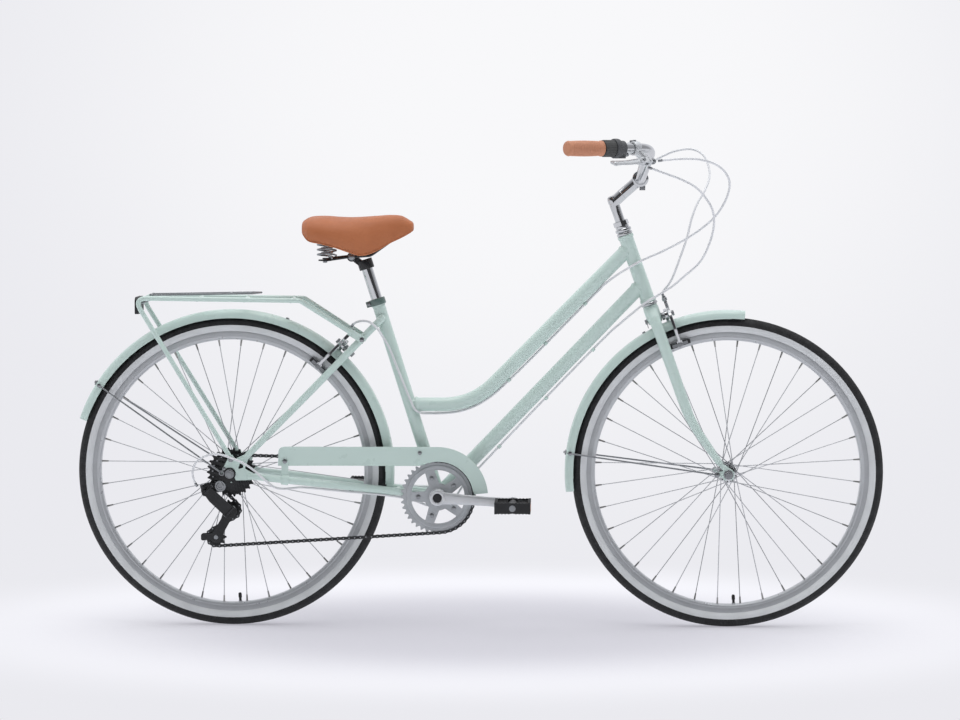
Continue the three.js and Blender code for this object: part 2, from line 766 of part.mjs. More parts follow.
// Headset
const cupInner = boreFor(steererRadius, roundSides, turningGap);
const headTop = headTubeStart + headTubeLength;
addPart('headset_lower_cup', collar(onHead(headTubeStart - cupHeight), headUp, cupInner, lowerCupRadius,
  cupHeight - fitGap), chrome);
addPart('headset_upper_cup', collar(onHead(headTop + fitGap), headUp, cupInner, lowerCupRadius - 1,
  cupHeight - fitGap), chrome);
addPart('headset_locknut', turnedOn(onHead(headTop + cupHeight + fitGap), headUp, [
  [boreFor(steererRadius, roundSides), 0], [lockStackRadius - cupWall / 2, 0],
  [lockStackRadius, lockStackHeight / 4], [lockStackRadius - cupWall / 2, lockStackHeight / 2],
  [lockStackRadius - cupWall / 2, lockStackHeight - fitGap],
  [boreFor(steererRadius, roundSides), lockStackHeight - fitGap], [boreFor(steererRadius, roundSides), 0],
]), chrome);

// Fork with its steerer, blades, ends and caliper bolt
function bladePoints(side) {
  const points = bladeShoulder.map((p) => onHead(p.along, 0, side * p.side));
  const start = onHead(bladeBendAlong, 0, side * bladeBendSide);
  const knee = onHead(bladeBendKnee, 0, side * bladeBendSide);
  const end = aside(frontAxle, side * bladeEndSide);
  const curve = new THREE.QuadraticBezierCurve3(start, knee, end);
  const stop = 1 - bladeEndShort / curve.getLength();
  for (let k = 0; k <= bendSteps; k += 1) points.push(curve.getPointAt((stop * k) / bendSteps));
  return points;
}

function bladeRadii(points) {
  const whole = points.length - 1;
  const shoulder = bladeShoulder.length;
  return points.map((_, i) => (i < shoulder ? bladeTopRadius
    : bladeTopRadius - ((bladeTopRadius - bladeEndRadius) * (i - shoulder + 2)) / (whole - shoulder + 2)));
}

function forkEnd(side) {
  const top = bladePoints(side).at(-1);
  const wide = 1.5 * axleNutRadius;
  const arm = axleNutRadius / 2;
  const at = (x, z) => v3(frontAxle.x + x, 0, frontAxle.z + z);
  const outline = [
    at(wide, -arm), at(wide, arm), along(top, forward, bladeEndRadius - 1), along(top, forward,
        1 - bladeEndRadius),
    at(-wide, arm), at(-3 * axleNutRadius - arm, arm), at(-3 * axleNutRadius - arm, -arm), at(-wide, -arm),
    ...slotNotch(frontAxle, upward.clone().negate(), wide),
  ];
  return sidePlate(outline, side * (frontDropoutIn + frontEndThickness / 2 + fitGap), frontEndThickness);
}

function forkSolid() {
  const pieces = [-1, 1].flatMap((side) => {
    const points = bladePoints(side);
    return [taperedTube(points, bladeRadii(points), smallSides, bladeFlatShare), forkEnd(side)];
  });
  const boltCentre = onHead(boltHeightFront);
  const nutFace = -headTubeRadius - fitGap;
  const body = join(
    rod(onHead(-crownLength), onHead(0), headTubeRadius),
    rod(onHead(-sunk), onHead(steererTop), steererRadius),
    pieces,
    caliperBolt(boltCentre, headFore, caliperOutFront, nutFace),
  );
  return cut(body, rod(onHead(quillBottom - overrun), onHead(steererTop + overrun),
    boreFor(quillRadius, roundSides)));
}

addPart('fork', forkSolid(), mint);

// Stem and handlebar
const barClamp = v3(barClampAhead, 0, barClampHeight);

function stemSolid() {
  const elbow = onHead(stemElbowHeight);
  const boltAt = along(along(barClamp, upward, -barClampRadius), forward, barClampRadius / 4);
  return cut(
    join(
      rod(onHead(quillBottom), elbow, quillRadius),
      rod(onHead(stemElbowHeight - stemExtensionRadius), onHead(stemElbowHeight + stemExtensionRadius / 2),
        stemExtensionRadius + sunk),
      rod(elbow, barClamp, stemExtensionRadius, roundSides, stemExtensionRadius),
      acrossRod(barClamp, -barClampHalfWidth, barClampHalfWidth, barClampRadius, roundSides),
      acrossRod(boltAt, -barClampHalfWidth / 2, barClampHalfWidth / 2, barClampRadius / 2, smallSides),
    ),
    acrossRod(barClamp, -barClampHalfWidth - overrun, barClampHalfWidth + overrun,
      boreFor(barCentreRadius, roundSides)),
  );
}

addPart('stem', stemSolid(), chrome);

const barTip = (side) => v3(barEnd.x, side * barEnd.y, barKnee.z);
const barCorner = (side) => v3(barKnee.x, side * barKnee.y, barKnee.z);
const gripWay = (side) => barCorner(side).sub(barTip(side)).normalize(); // from the end inwards
const onBar = (side, distance) => along(barTip(side), gripWay(side), distance);

function handlebarSolid() {
  const middle = v3(barClampAhead, 0, barClampHeight);
  const left = rounded([middle, aside(middle, barStraightHalf), barCorner(1), barTip(1)], barBend).slice(1);
  const whole = [...left.toReversed(), ...left.map((p) => v3(p.x, -p.y, p.z))];
  const centre = acrossRod(barClamp, -barClampHalfWidth - overrun, barClampHalfWidth + overrun,
      barCentreRadius);
  return join(tube(whole, barRadius, roundSides), centre);
}

addPart('handlebar', handlebarSolid(), chrome);

// Grips, shifter and brake levers
const gripCap = 3;
const gripFlange = 2.4;
const sleeveBore = boreFor(barRadius, roundSides);

function gripSolid(side, length) {
  const waist = gripRadius - gripFlange / 2;
  return turnedOn(barTip(side), gripWay(side), [
    [0, -gripCap], [gripRadius - gripCap, -gripCap], [gripRadius, gripCap], [waist, length / 2],
    [gripRadius, length], [sleeveBore, length], [sleeveBore, -fitGap], [0, -fitGap],
  ], roundSides);
}

addPart('grip_right', gripSolid(-1, rightGripLength), tan);
addPart('grip_left', gripSolid(1, leftGripLength), tan);
addPart('shifter_twist_grip', collar(onBar(-1, twistStart), gripWay(-1), boreFor(barRadius, roundSides,
    turningGap),
  twistRadius, twistLength), rubber);

const shifterStart = twistStart + twistLength + turningGap;
const shifterNeck = shifterRadius - 2 * gripFlange;
addPart('shifter_housing', turnedOn(onBar(-1, shifterStart), gripWay(-1), [
  [sleeveBore, 0], [shifterRadius, 0], [shifterRadius, shifterLength / 2], [shifterNeck, shifterLength / 2],
  [shifterNeck, shifterLength], [sleeveBore, shifterLength], [sleeveBore, 0],
], roundSides), blackPlastic);

function leverFrame(side) {
  const back = gripWay(side).negate(); // towards the grip end
  const out = v3(-back.y, back.x, 0).multiplyScalar(-side).normalize(); // in front of the bar
  const pull = out.clone().negate().add(upward).normalize(); // towards the grip
  const axis = back.clone().cross(pull).normalize();
  const clamp = onBar(side, leverClampAt);
  const pivot = along(along(clamp, out, leverForward), upward, -leverDrop);
  return { back, out, pull, axis, clamp, pivot };
}

function leverBracketSolid(side) {
  const { back, axis, clamp, pivot } = leverFrame(side);
  const start = along(clamp, back, -leverClampLength / 2);
  const half = leverThickness / 2 + fitGap;
  const heel = along(pivot, back, -2 * cheekRadius - sunk);
  const heelLow = along(heel, back, -cheekRadius / 2);
  const heelHigh = along(heel, back, cheekRadius / 2);
  const wide = back.clone().cross(axis);
  const neckStart = along(clamp, pivot.clone().sub(clamp).normalize(), leverClampRadius - sunk);
  const cheek = (sign) => {
    const middle = sign * (half + cheekThickness / 2);
    return strip(along(along(pivot, back, cheekRadius), axis, middle), along(heel, axis, middle), wide,
      2 * (cheekRadius - sunk), cheekThickness);
  };
  return cut(
    join(
      collar(start, back, barRadius - sunk, leverClampRadius, leverClampLength, 10),
      strip(along(neckStart, back, -leverClampLength / 4), heel, axis, leverWidth,
          2 * cheekRadius - 3 * sunk),
      strip(heelLow, heelHigh, wide, 2 * (cheekRadius - sunk), 2 * (half + cheekThickness)),
      cheek(-1), cheek(1),
      rod(along(pivot, axis, -half - sunk), along(pivot, axis, half + sunk), leverPinRadius, boltSides),
      rod(heel, along(pivot, back, -leverBarrelRun), barrelRadius + sunk, boltSides),
    ),
    rod(along(start, back, -overrun), along(start, back, leverClampLength + overrun), boreFor(barRadius,
        10), 10),
  );
}

function leverBladeSolid(side) {
  const { back, axis, pivot } = leverFrame(side);
  const away = back.clone().cross(axis); // from the grip
  const knee = along(along(pivot, back, leverLength / 3), away, leverWidth / 3);
  const end = along(along(pivot, back, leverLength), away, leverWidth / 2);
  const ball = along(end, axis, -leverWidth / 2);
  return cut(
    join(
      rod(along(pivot, axis, -leverThickness / 2), along(pivot, axis, leverThickness / 2), cheekRadius,
          smallSides),
      strip(pivot, knee, away, leverWidth, leverThickness - sunk),
      strip(knee, end, away, leverWidth - 2 * sunk, leverThickness - 2 * sunk, sunk),
      rod(ball, along(ball, axis, leverWidth), leverWidth / 2 + sunk, boltSides),
    ),
    rod(along(pivot, axis, -leverThickness), along(pivot, axis, leverThickness),
      boreFor(leverPinRadius, boltSides), boltSides),
  );
}

for (const [word, side] of [['right', -1], ['left', 1]]) {
  addPart(`lever_bracket_${word}`, leverBracketSolid(side), alloy);
  addPart(`brake_lever_${word}`, leverBladeSolid(side), alloy);
}

// Caliper arms
function bandOutline(middles, width) {
  const offset = (sign) => middles.map((p, i) => {
    const before = middles[Math.max(i - 1, 0)];
    const after = middles[Math.min(i + 1, middles.length - 1)];
    const run = after.clone().sub(before).normalize();
    return new THREE.Vector2(p.x - (sign * run.y * width) / 2, p.y + (sign * run.x * width) / 2);
  });
  return [...offset(1), ...offset(-1).reverse()];
}

function caliperArm(centre, out, armFace, side, isOuter) {
  const down = out.clone().cross(sideways).normalize();
  if (down.z > 0) down.negate();
  const layer = armFace + (isOuter ? armThickness + armGap : 0);
  const face = (x, v, w = layer) => along(aside(along(centre, down, v), side * x), out, w);
  const band = (stops) => {
    const outline = bandOutline(stops.map(([x, v]) => new THREE.Vector2(x, v)), armWidth);
    const plate = new THREE.ExtrudeGeometry(new THREE.Shape(outline), { depth: armThickness,
        bevelEnabled: false });
    plate.applyMatrix4(new THREE.Matrix4().makeBasis(sideways.clone().multiplyScalar(side), down, out));
    const start = face(0, 0);
    return plate.translate(start.x, start.y, start.z);
  };
  const shoulders = [
    [0, 0], [armSpread * 0.55, 0], [armSpread * 0.94, armWidth * 1.6], [armSpread * 0.97, caliperReach * 0.7],
    [armSpread * 0.84, caliperReach + armWidth / 2],
  ];
  const hub = rod(face(0, 0), face(0, 0, layer + armThickness), bossRadius, boltSides);
  const padX = rimHalfWidth + padGap;
  const padFace = armFace + padOut;
  const pad = strip(face(padX + padThickness / 2, caliperReach, padFace - padLength / 2),
    face(padX + padThickness / 2, caliperReach, padFace + padLength / 2), down, padHeight, padThickness);
  const shoeBolt = rod(face(padX + padThickness - sunk, caliperReach, padFace),
    face(armSpread + armWidth / 4, caliperReach, padFace), shoeBoltRadius, 6);
  const tab = isOuter
    ? [band([[0, 0], [-barrelSide, -barrelHeight]]),
      rod(face(-barrelSide, -barrelHeight + 3 * sunk, layer + armThickness / 2),
        face(-barrelSide, -barrelHeight - barrelLength, layer + armThickness / 2), barrelRadius, 6)]
    : [];
  return cut(join(band(shoulders), hub, pad, shoeBolt, tab),
    rod(face(0, 0, layer - overrun), face(0, 0, layer + armThickness + overrun), boreFor(boltRadius, 6), 6));
}

const frontBolt = onHead(boltHeightFront);
for (const [word, side] of [['right', -1], ['left', 1]]) {
  addPart(`front_brake_arm_${word}`, caliperArm(frontBolt, headFore, caliperOutFront, side, side < 0), alloy);
  addPart(`rear_brake_arm_${word}`, caliperArm(bridgeCentre, caliperRearWay, caliperOutRear, side, side < 0),
    alloy);
}

// Mudguards: a thin channel swept along an arc, with wire stays and their clips
function guardSection() {
  const half = (skin) => [
    [guardHalfWidth - skin, guardRadius - guardDepth],
    [guardHalfWidth - skin, guardRadius - guardShoulder],
    [guardHalfWidth * 0.42, guardRadius - skin * 1.3],
  ];
  const outer = half(0);
  const inner = half(guardSkin).reverse();
  const section = [
    ...outer, ...outer.map(([x, r]) => [-x, r]).reverse(),
    ...inner.map(([x, r]) => [-x, r]).reverse(), ...inner,
  ];
  return section.map(([x, r]) => new THREE.Vector2(x, r - guardRadius));
}

function mudguardSolid(axle, [from, to], stayAngle, eyelet) {
  const arc = arcPoints(axle, guardRadius, from, to, guardSteps);
  const channel = swept(guardSection(), arc);
  const stays = [-1, 1].flatMap((side) => {
    const start = aside(eyelet, side * eyelet.y);
    const end = atAngle(axle, guardRadius - guardDepth / 2, stayAngle, side * guardHalfWidth);
    return [rod(start, end, guardStayRadius, 4),
      acrossRod(start, side * (eyelet.y - guardStayRadius), side * (eyelet.y + guardStayRadius), 5,
          boltSides)];
  });
  const clipTurn = stayClipHalf / guardRadius;
  const clip = strip(atAngle(axle, guardRadius, stayAngle - clipTurn), atAngle(axle, guardRadius,
      stayAngle + clipTurn),
    sideways, guardHalfWidth, 3);
  return join(channel, stays, clip);
}

const forkEyelet = v3(frontAxle.x - 3 * axleNutRadius, frontDropoutIn + frontEndThickness + forkEyeletOut,
    frontAxle.z);
addPart('front_mudguard', mudguardSolid(frontAxle, frontGuardAngles, frontStayAngle, forkEyelet), mint);
const frameEyelet = v3(rearAxle.x - 2 * axleNutRadius, rearDropoutIn + dropoutThickness + frameEyeletOut,
    rearAxle.z + frameEyeletUp);
addPart('rear_mudguard', mudguardSolid(rearAxle, rearGuardAngles, rearStayAngle, frameEyelet), mint);

// Wheels, each in its own group at its axle
function tyreSolid() {
  const crown = tyreRadius;
  const bead = rimOuterRadius - beadDepth;
  const inBead = rimHalfWidth - rimWall - fitGap;
  const belly = (crown + rimOuterRadius) / 2;
  const half = [
    [bead, inBead], [rimOuterRadius + sunk, inBead], [belly, tyreHalfWidth], [crown - treadShoulder,
        tyreHalfWidth * 0.7],
  ];
  const inner = [[belly + tyreWall, tyreHalfWidth - tyreWall], [bead, inBead - tyreWall]];
  const outline = [
    ...half, [crown, 0], ...half.map(([r, y]) => [r, -y]).reverse(),
    ...inner.map(([r, y]) => [r, -y]).reverse(), ...inner, half[0],
  ];
  return turned(outline);
}

function rimSolid() {
  const floor = rimOuterRadius - beadDepth - rimFloor;
  const outline = [
    [rimOuterRadius, rimHalfWidth], [floor - rimFloor, rimHalfWidth], [rimInnerRadius, rimHalfWidth / 2],
    [rimInnerRadius, -rimHalfWidth / 2], [floor - rimFloor, -rimHalfWidth], [rimOuterRadius, -rimHalfWidth],
    [rimOuterRadius, -rimHalfWidth + rimWall], [floor + rimFloor - fitGap, -rimHalfWidth + rimWall],
    [floor + rimFloor - fitGap, rimHalfWidth - rimWall], [rimOuterRadius, rimHalfWidth - rimWall],
    [rimOuterRadius, rimHalfWidth],
  ];
  return turned(outline);
}

// Leading and trailing spokes in two layers, held by the ring of their bent heads
function spokeSet(side, flangeOut, shift) {
  const near = flangeOut + flangeThickness / 2 + fitGap;
  const hubY = near + spokeRadius + 3 * fitGap;
  const inner = flangeRadius - spokeHoleInset;
  const outer = rimInnerRadius * Math.cos(Math.PI / wheelSides) - 2 * fitGap;
  const step = (2 * Math.PI) / spokesPerSide;
  const axle = v3(0, 0, 0);
  const spokes = [];
  for (let i = 0; i < spokesPerSide; i += 1) {
    const hubAngle = shift + i * step;
    const turn = i % 2 ? -spokeCrossAngle : spokeCrossAngle;
    const layer = i % 2 ? spokeLayers : 0;
    spokes.push(rod(atAngle(axle, inner, hubAngle, side * (hubY + layer)),
      atAngle(axle, outer, hubAngle + turn, side * (spokeRadius + layer / 2)), spokeRadius, 3));
  }
  const deep = spokeLayers + 2 * spokeRadius + 3 * fitGap;
  const ring = turned([[inner - spokeRingHalf, side * near], [inner + spokeRingHalf, side * near],
    [inner + spokeRingHalf, side * (near + deep)], [inner - spokeRingHalf, side * (near + deep)],
    [inner - spokeRingHalf, side * near]], spokesPerSide / 2);
  return join(spokes, ring).rotate([0, spokeLag, 0]);
}

function hubSolid(leftOut, rightOut, neckEnd, axleBore) {
  const half = flangeThickness / 2;
  const profile = [
    [axleBore, -neckEnd], [hubShellRadius, -neckEnd], [hubShellRadius, -rightOut - half],
    [flangeRadius, -rightOut - half], [flangeRadius, -rightOut + half], [hubShellRadius, -rightOut + half],
    [hubShellRadius, leftOut - half], [flangeRadius, leftOut - half], [flangeRadius, leftOut + half],
    [hubShellRadius, leftOut + half], [hubShellRadius, leftOut + 2 * flangeThickness],
    [axleBore, leftOut + 2 * flangeThickness], [axleBore, -neckEnd],
  ];
  return turned(profile, 10);
}

// Axle with inner lock nuts and outer nuts, clear of the turning hub
function axleSolid(dropoutIn, plate, hubLeft, hubRight) {
  const end = dropoutIn + plate + 2 * fitGap;
  const nut = (side) => [
    rod(v3(0, side * end, 0), v3(0, side * (end + axleNutHeight), 0), axleNutRadius, boltSides),
  ];
  return join(
    rod(v3(0, -end - axleNutHeight - axleEnd, 0), v3(0, end + axleNutHeight + axleEnd, 0), axleRadius,
        boltSides),
    nut(-1), nut(1),
    rod(v3(0, hubLeft + turningGap, 0), v3(0, dropoutIn, 0), lockNutRadius, boltSides),
    rod(v3(0, -hubRight - turningGap, 0), v3(0, -dropoutIn, 0), lockNutRadius, boltSides),
  );
}

const hubBore = boreFor(axleRadius, 10, turningGap);
const frontHubEnd = frontFlangeOut + 2 * flangeThickness;
const rearHubLeft = rearFlangeLeft + 2 * flangeThickness;
const rearNeckEnd = 52;

function addWheel(word, axle, leftOut, rightOut, neckEnd) {
  const wheel = new THREE.Group();
  wheel.position.copy(axle);
  bike.add(wheel);
  const halfStep = Math.PI / spokesPerSide;
  addPart(`${word}_tyre`, tyreSolid(), rubber, wheel);
  addPart(`${word}_rim`, rimSolid(), alloy, wheel);
  addPart(`${word}_spokes_left`, spokeSet(1, leftOut, 0), steel, wheel);
  addPart(`${word}_spokes_right`, spokeSet(-1, rightOut, halfStep), steel, wheel);
  addPart(`${word}_hub`, hubSolid(leftOut, rightOut, neckEnd, hubBore), chrome, wheel);
  return wheel;
}

const frontWheel = addWheel('front', frontAxle, frontFlangeOut, frontFlangeOut, frontHubEnd);
addPart('front_axle', axleSolid(frontDropoutIn, frontEndThickness, frontHubEnd, frontHubEnd), steel,
    frontWheel);
const rearWheel = addWheel('rear', rearAxle, rearFlangeLeft, rearFlangeRight, rearNeckEnd);
addPart('rear_axle', axleSolid(rearDropoutIn, dropoutThickness, rearHubLeft, rearNeckEnd), steel, rearWheel);

// Toothed plates: freewheel, chainring, jockey wheels
function toothed(centre, teeth, y, holes) {
  const tip = pitchRadius(teeth) + toothHeight;
  const root = pitchRadius(teeth) - rootDepth;
  const turn = (2 * Math.PI) / teeth;
  const outline = [];
  for (let i = 0; i < teeth; i += 1) {
    outline.push(atAngle(centre, root, (i - 1 / 2) * turn), atAngle(centre, tip, i * turn));
  }
  return sidePlate(outline, y, toothPlate, holes);
}

function freewheelSolid() {
  const bore = boreFor(hubShellRadius, smallSides, turningGap);
  const plates = sprocketTeeth.map((teeth, i) => {
    const y = -outerSprocketSide + i * sprocketSpacing;
    if (toothedSprockets.includes(teeth)) return toothed(v3(0, 0, 0), teeth, y, []);
    return acrossRod(v3(0, 0, 0), y - toothPlate / 2, y + toothPlate / 2, pitchRadius(teeth));
  });
  const first = -outerSprocketSide - toothPlate / 2;
  const last = -outerSprocketSide + (sprocketTeeth.length - 1) * sprocketSpacing + toothPlate / 2;
  const bodyRadius = pitchRadius(sprocketTeeth[0]) - rootDepth - 2 * sunk;
  const body = rod(v3(0, first, 0), v3(0, last + sunk, 0), bodyRadius, smallSides);
  return cut(join(body, plates), rod(v3(0, first - overrun, 0), v3(0, last + overrun, 0), bore, smallSides));
}

addPart('freewheel', freewheelSolid(), darkSteel, rearWheel);

function chainringSolid() {
  const hole = circleAt(crankCentre, boreFor(ringBossRadius, roundSides), roundSides);
  const holes = [hole];
  for (let i = 0; i < ringArms; i += 1) {
    const middle = Math.PI + ((2 * i + 1) * Math.PI) / ringArms;
    const reach = (radius) => Math.PI / ringArms - ringArmWidth / 2 / radius;
    const outer = arcPoints(crankCentre, ringWindowOuter, middle - reach(ringWindowOuter),
      middle + reach(ringWindowOuter), 3);
    const inner = arcPoints(crankCentre, ringWindowInner, middle + reach(ringWindowInner),
      middle - reach(ringWindowInner), 1);
    holes.push([...outer, ...inner]);
  }
  return toothed(crankCentre, ringTeeth, -chainLine, holes);
}

addPart('chainring', chainringSolid(), steel);

// Cranks, spindle and pedals
const spindleEnd = crankInnerAtBoss + crankThickness / 2;
addPart('crank_spindle', acrossRod(crankCentre, -spindleEnd, spindleEnd, spindleRadius), steel);

function crankSolid(side) {
  const angle = side < 0 ? crankDownAngle : Math.PI + crankDownAngle;
  const eye = atAngle(crankCentre, crankLength, angle);
  const run = eye.clone().sub(crankCentre).normalize();
  const across = v3(-run.z, 0, run.x);
  const inner = crankInnerAtBoss;
  const faceOf = (distance, depth) => side * (inner + (crankSplay * distance) / crankLength + depth);
  const section = (distance, half) => [[half, 0], [half, crankThickness], [-half, crankThickness], [-half, 0]]
    .map(([w, depth]) => aside(along(along(crankCentre, run, distance), across, w), faceOf(distance, depth)));
  const arm = loft([section(0, crankEyeRadius), section(crankLength, crankEyeRadius * 0.8)]);
  const ringFace = chainLine + toothPlate / 2 + fitGap;
  const bossInner = side < 0 ? ringFace : inner - crankBossDeeper;
  const boss = [acrossRod(crankCentre, side * bossInner, faceOf(0, crankThickness), crankBossRadius)];
  const pilot = side < 0
    ? [acrossRod(crankCentre, side * (chainLine - toothPlate), side * (ringFace + sunk),
        ringBossRadius)] : [];
  const axle = acrossRod(eye, faceOf(crankLength, 1),
    side * (inner + crankSplay + crankThickness + pedalClear + pedalWidth - 4 * sunk), pedalAxleRadius,
        smallSides);
  const eyeDisc = acrossRod(eye, faceOf(crankLength, 0), faceOf(crankLength, crankThickness), crankEyeRadius);
  return cut(join(arm, boss, pilot, axle, eyeDisc),
    acrossRod(crankCentre, side * (bossInner - 3 * overrun), side * (spindleEnd + fitGap),
      boreFor(spindleRadius, roundSides)));
}

function pedalSolid(side) {
  const eye = atAngle(crankCentre, crankLength, side < 0 ? crankDownAngle : Math.PI + crankDownAngle);
  const start = crankInnerAtBoss + crankSplay + crankThickness + pedalClear;
  const end = start + pedalWidth;
  const half = pedalThickness / 2;
  const slope = pedalBarWidth / 2;
  const reach = pedalLength / 2;
  const profile = [[-reach, -half + slope], [-reach, half - slope], [-reach + slope, half], [reach - slope,
      half],
    [reach, half - slope], [reach, -half + slope], [reach - slope, -half], [-reach + slope, -half]]
    .map(([x, z]) => v3(eye.x + x, 0, eye.z + z));
  const body = sidePlate(profile, (side * (start + end)) / 2, pedalWidth);
  const windowDepth = reach - pedalBarWidth - pedalBarrelRadius;
  const window = (sign) => {
    const x = eye.x + sign * (pedalBarrelRadius + windowDepth / 2);
    const low = v3(x, side * (start + pedalBarWidth), eye.z);
    const high = v3(x, side * (end - pedalBarWidth), eye.z);
    return strip(low, high, forward, windowDepth, pedalThickness + overrun);
  };
  return cut(body, window(-1), window(1),
    acrossRod(eye, side * (start - overrun), side * (end - 3 * sunk), boreFor(pedalAxleRadius, smallSides,
        turningGap),
      smallSides));
}

for (const [word, side] of [['right', -1], ['left', 1]]) {
  addPart(`${word}_crank`, crankSolid(side), alloy);
  addPart(`pedal_${word}`, pedalSolid(side), blackPlastic);
}

// Chain: side plates along the pitch line with rollers on the free runs
const cageCentre = fromAxle(cagePivot);
const lowerCentre = fromAxle(lowerJockey);

function chainLoop() {
  const wheels = [
    { centre: rearAxle, radius: pitchRadius(drivenTeeth), sense: 1, steps: 7 },
    { centre: crankCentre, radius: pitchRadius(ringTeeth), sense: 1, steps: 9 },
    { centre: lowerCentre, radius: pitchRadius(jockeyTeeth), sense: 1, steps: 6 },
    { centre: cageCentre, radius: pitchRadius(jockeyTeeth), sense: -1, steps: 5 },
  ];
  const headings = wheels.map((from, i) => {
    const to = wheels[(i + 1) % wheels.length];
    const way = to.centre.clone().sub(from.centre);
    const lean = Math.asin((to.sense * to.radius - from.sense * from.radius) / way.length());
    return Math.atan2(way.z, way.x) + lean;
  });
  const loop = [];
  const runs = [];
  wheels.forEach((wheel, i) => {
    const arriving = headings[(i + wheels.length - 1) % wheels.length];
    let turn = (arriving - headings[i]) * wheel.sense;
    turn = ((turn % (2 * Math.PI)) + 2 * Math.PI) % (2 * Math.PI);
    for (let k = 0; k <= wheel.steps; k += 1) {
      const heading = arriving - (wheel.sense * turn * k) / wheel.steps;
      const left = v3(-Math.sin(heading), 0, Math.cos(heading));
      loop.push({ point: along(wheel.centre, left, wheel.sense * wheel.radius), left });
    }
    runs.push(loop.length - 1);
  });
  return { loop, runs: [runs[0], runs[1]].map((i) => [loop[i].point, loop[(i + 1) % loop.length].point]) };
}

function chainSolid() {
  const { loop, runs } = chainLoop();
  const edge = (sign) => loop.map(({ point, left }) => along(point, left, (sign * chainHeight) / 2));
  const plateMid = chainInnerHalf + chainPlate / 2;
  const plates = [-1, 1].map((sign) => sidePlate(edge(1), -chainLine + sign * plateMid, chainPlate,
      [edge(-1)]));
  const rollers = runs.flatMap(([from, to]) => {
    const way = to.clone().sub(from);
    const count = Math.floor(way.length() / (pitch * rollerEvery));
    return Array.from({ length: count - 1 }, (_, i) => {
      const at = along(from, way, (i + 1) / count);
      return acrossRod(at, -chainLine - plateMid, -chainLine + plateMid, rollerRadius, 4);
    });
  });
  return join(plates, rollers);
}

addPart('chain', chainSolid(), darkSteel);

// Derailleur
const knuckleCentre = fromAxle(knucklePivot);
const linkWay = cageCentre.clone().sub(knuckleCentre).normalize();
const linkAcross = v3(-linkWay.z, 0, linkWay.x);

function linkEars(centre) {
  const pin = aside(centre, -linkSide);
  const middle = aside(centre, -(knuckleOuter + earOut) / 2);
  const ears = [-1, 1].map((sign) => {
    const at = along(middle, linkAcross, sign * (linkHalfWidth + turningGap + earThickness / 2));
    const from = aside(at, -knuckleOuter + sunk);
    const to = aside(at, -earOut);
    return strip(from, to, linkAcross, earThickness, 2 * linkBarrelRadius);
  });
  const reach = linkHalfWidth + turningGap + earThickness / 2;
  return [...ears, rod(along(pin, linkAcross, -reach), along(pin, linkAcross, reach), linkPinRadius,
      boltSides)];
}

const hangerHole = v3(rearAxle.x - hangerBack, 0, rearAxle.z - hangerDrop);
const knuckleFace = -knuckleInner - 4 * sunk;
addPart('derailleur_body', join(
  acrossRod(knuckleCentre, -knuckleInner, -knuckleOuter, knuckleRadius + earThickness),
  linkEars(knuckleCentre),
  strip(aside(knuckleCentre, -(knuckleInner + knuckleOuter) / 2), aside(hangerHole,
      -(knuckleInner + knuckleOuter) / 2),
    upward, 2 * hangerRadius - 4 * sunk, knuckleOuter - knuckleInner),
  acrossRod(hangerHole, -knuckleInner, knuckleFace - 4, hangerRadius - 1),
), blackPlastic);

function linkSolid() {
  const ends = [knuckleCentre, cageCentre].map((centre) => aside(centre, -linkSide));
  const barrel = ends.map((end) =>
    rod(along(end, linkAcross, -linkHalfWidth), along(end, linkAcross, linkHalfWidth), linkBarrelRadius,
        boltSides));
  const bores = ends.map((end) => rod(along(end, linkAcross, -linkHalfWidth - overrun),
    along(end, linkAcross, linkHalfWidth + overrun), boreFor(linkPinRadius, boltSides), boltSides));
  return cut(join(strip(ends[0], ends[1], linkAcross, 2 * linkHalfWidth, linkThickness), barrel), bores);
}

addPart('derailleur_links', linkSolid(), blackPlastic);

const cageOuterFace = chainLine + cageHalf + cagePlate;
const jockeyPin = 2.2;
addPart('derailleur_knuckle', cut(join(
  acrossRod(cageCentre, -cageOuterFace - turningGap, -knuckleOuter, knuckleRadius),
  acrossRod(cageCentre, -knuckleOuter + sunk, -knuckleOuter - fitGap, knuckleRadius + earThickness),
  linkEars(cageCentre),
), acrossRod(cageCentre, -cageOuterFace + overrun, -cageOuterFace - 2 * overrun, boreFor(jockeyPin,
    smallSides),
  smallSides)), blackPlastic);

function cageSolid() {
  const run = lowerCentre.clone().sub(cageCentre).normalize();
  const across = v3(-run.z, 0, run.x);
  const r = cageEndRadius;
  const tab = along(lowerCentre, forward, -cageTabBack);
  const outline = [
    along(cageCentre, across, r), along(cageCentre, run, -r), along(cageCentre, across, -r),
    along(lowerCentre, across, -r), along(tab, upward, r / 2), along(tab, upward, -r / 2),
    along(lowerCentre, run, r), along(lowerCentre, across, r),
  ];
  const plates = [-1, 1].map((sign) =>
    sidePlate(outline, -chainLine + sign * (cageHalf + cagePlate / 2), cagePlate));
  const pinStart = -chainLine + cageHalf + cagePlate / 2;
  const bridge = along(tab, forward, cageTabRadius);
  return join(
    plates,
    acrossRod(bridge, pinStart, -chainLine - cageHalf - cagePlate / 2, cageTabRadius, 4),
    acrossRod(cageCentre, pinStart, -cageOuterFace - overrun, jockeyPin, boltSides),
    acrossRod(lowerCentre, pinStart, -chainLine - cageHalf - cagePlate / 2, jockeyPin, boltSides),
  );
}

addPart('derailleur_cage', cageSolid(), darkSteel);

function jockeySolid(centre) {
  const hub = acrossRod(centre, -chainLine - jockeyHubHalf, -chainLine + jockeyHubHalf, jockeyHubRadius,
      boltSides);
  return cut(join(toothed(centre, jockeyTeeth, -chainLine, []), hub),
    acrossRod(centre, -chainLine - cageHalf - overrun, -chainLine + cageHalf + overrun,
      boreFor(jockeyBore, smallSides, 0), smallSides));
}

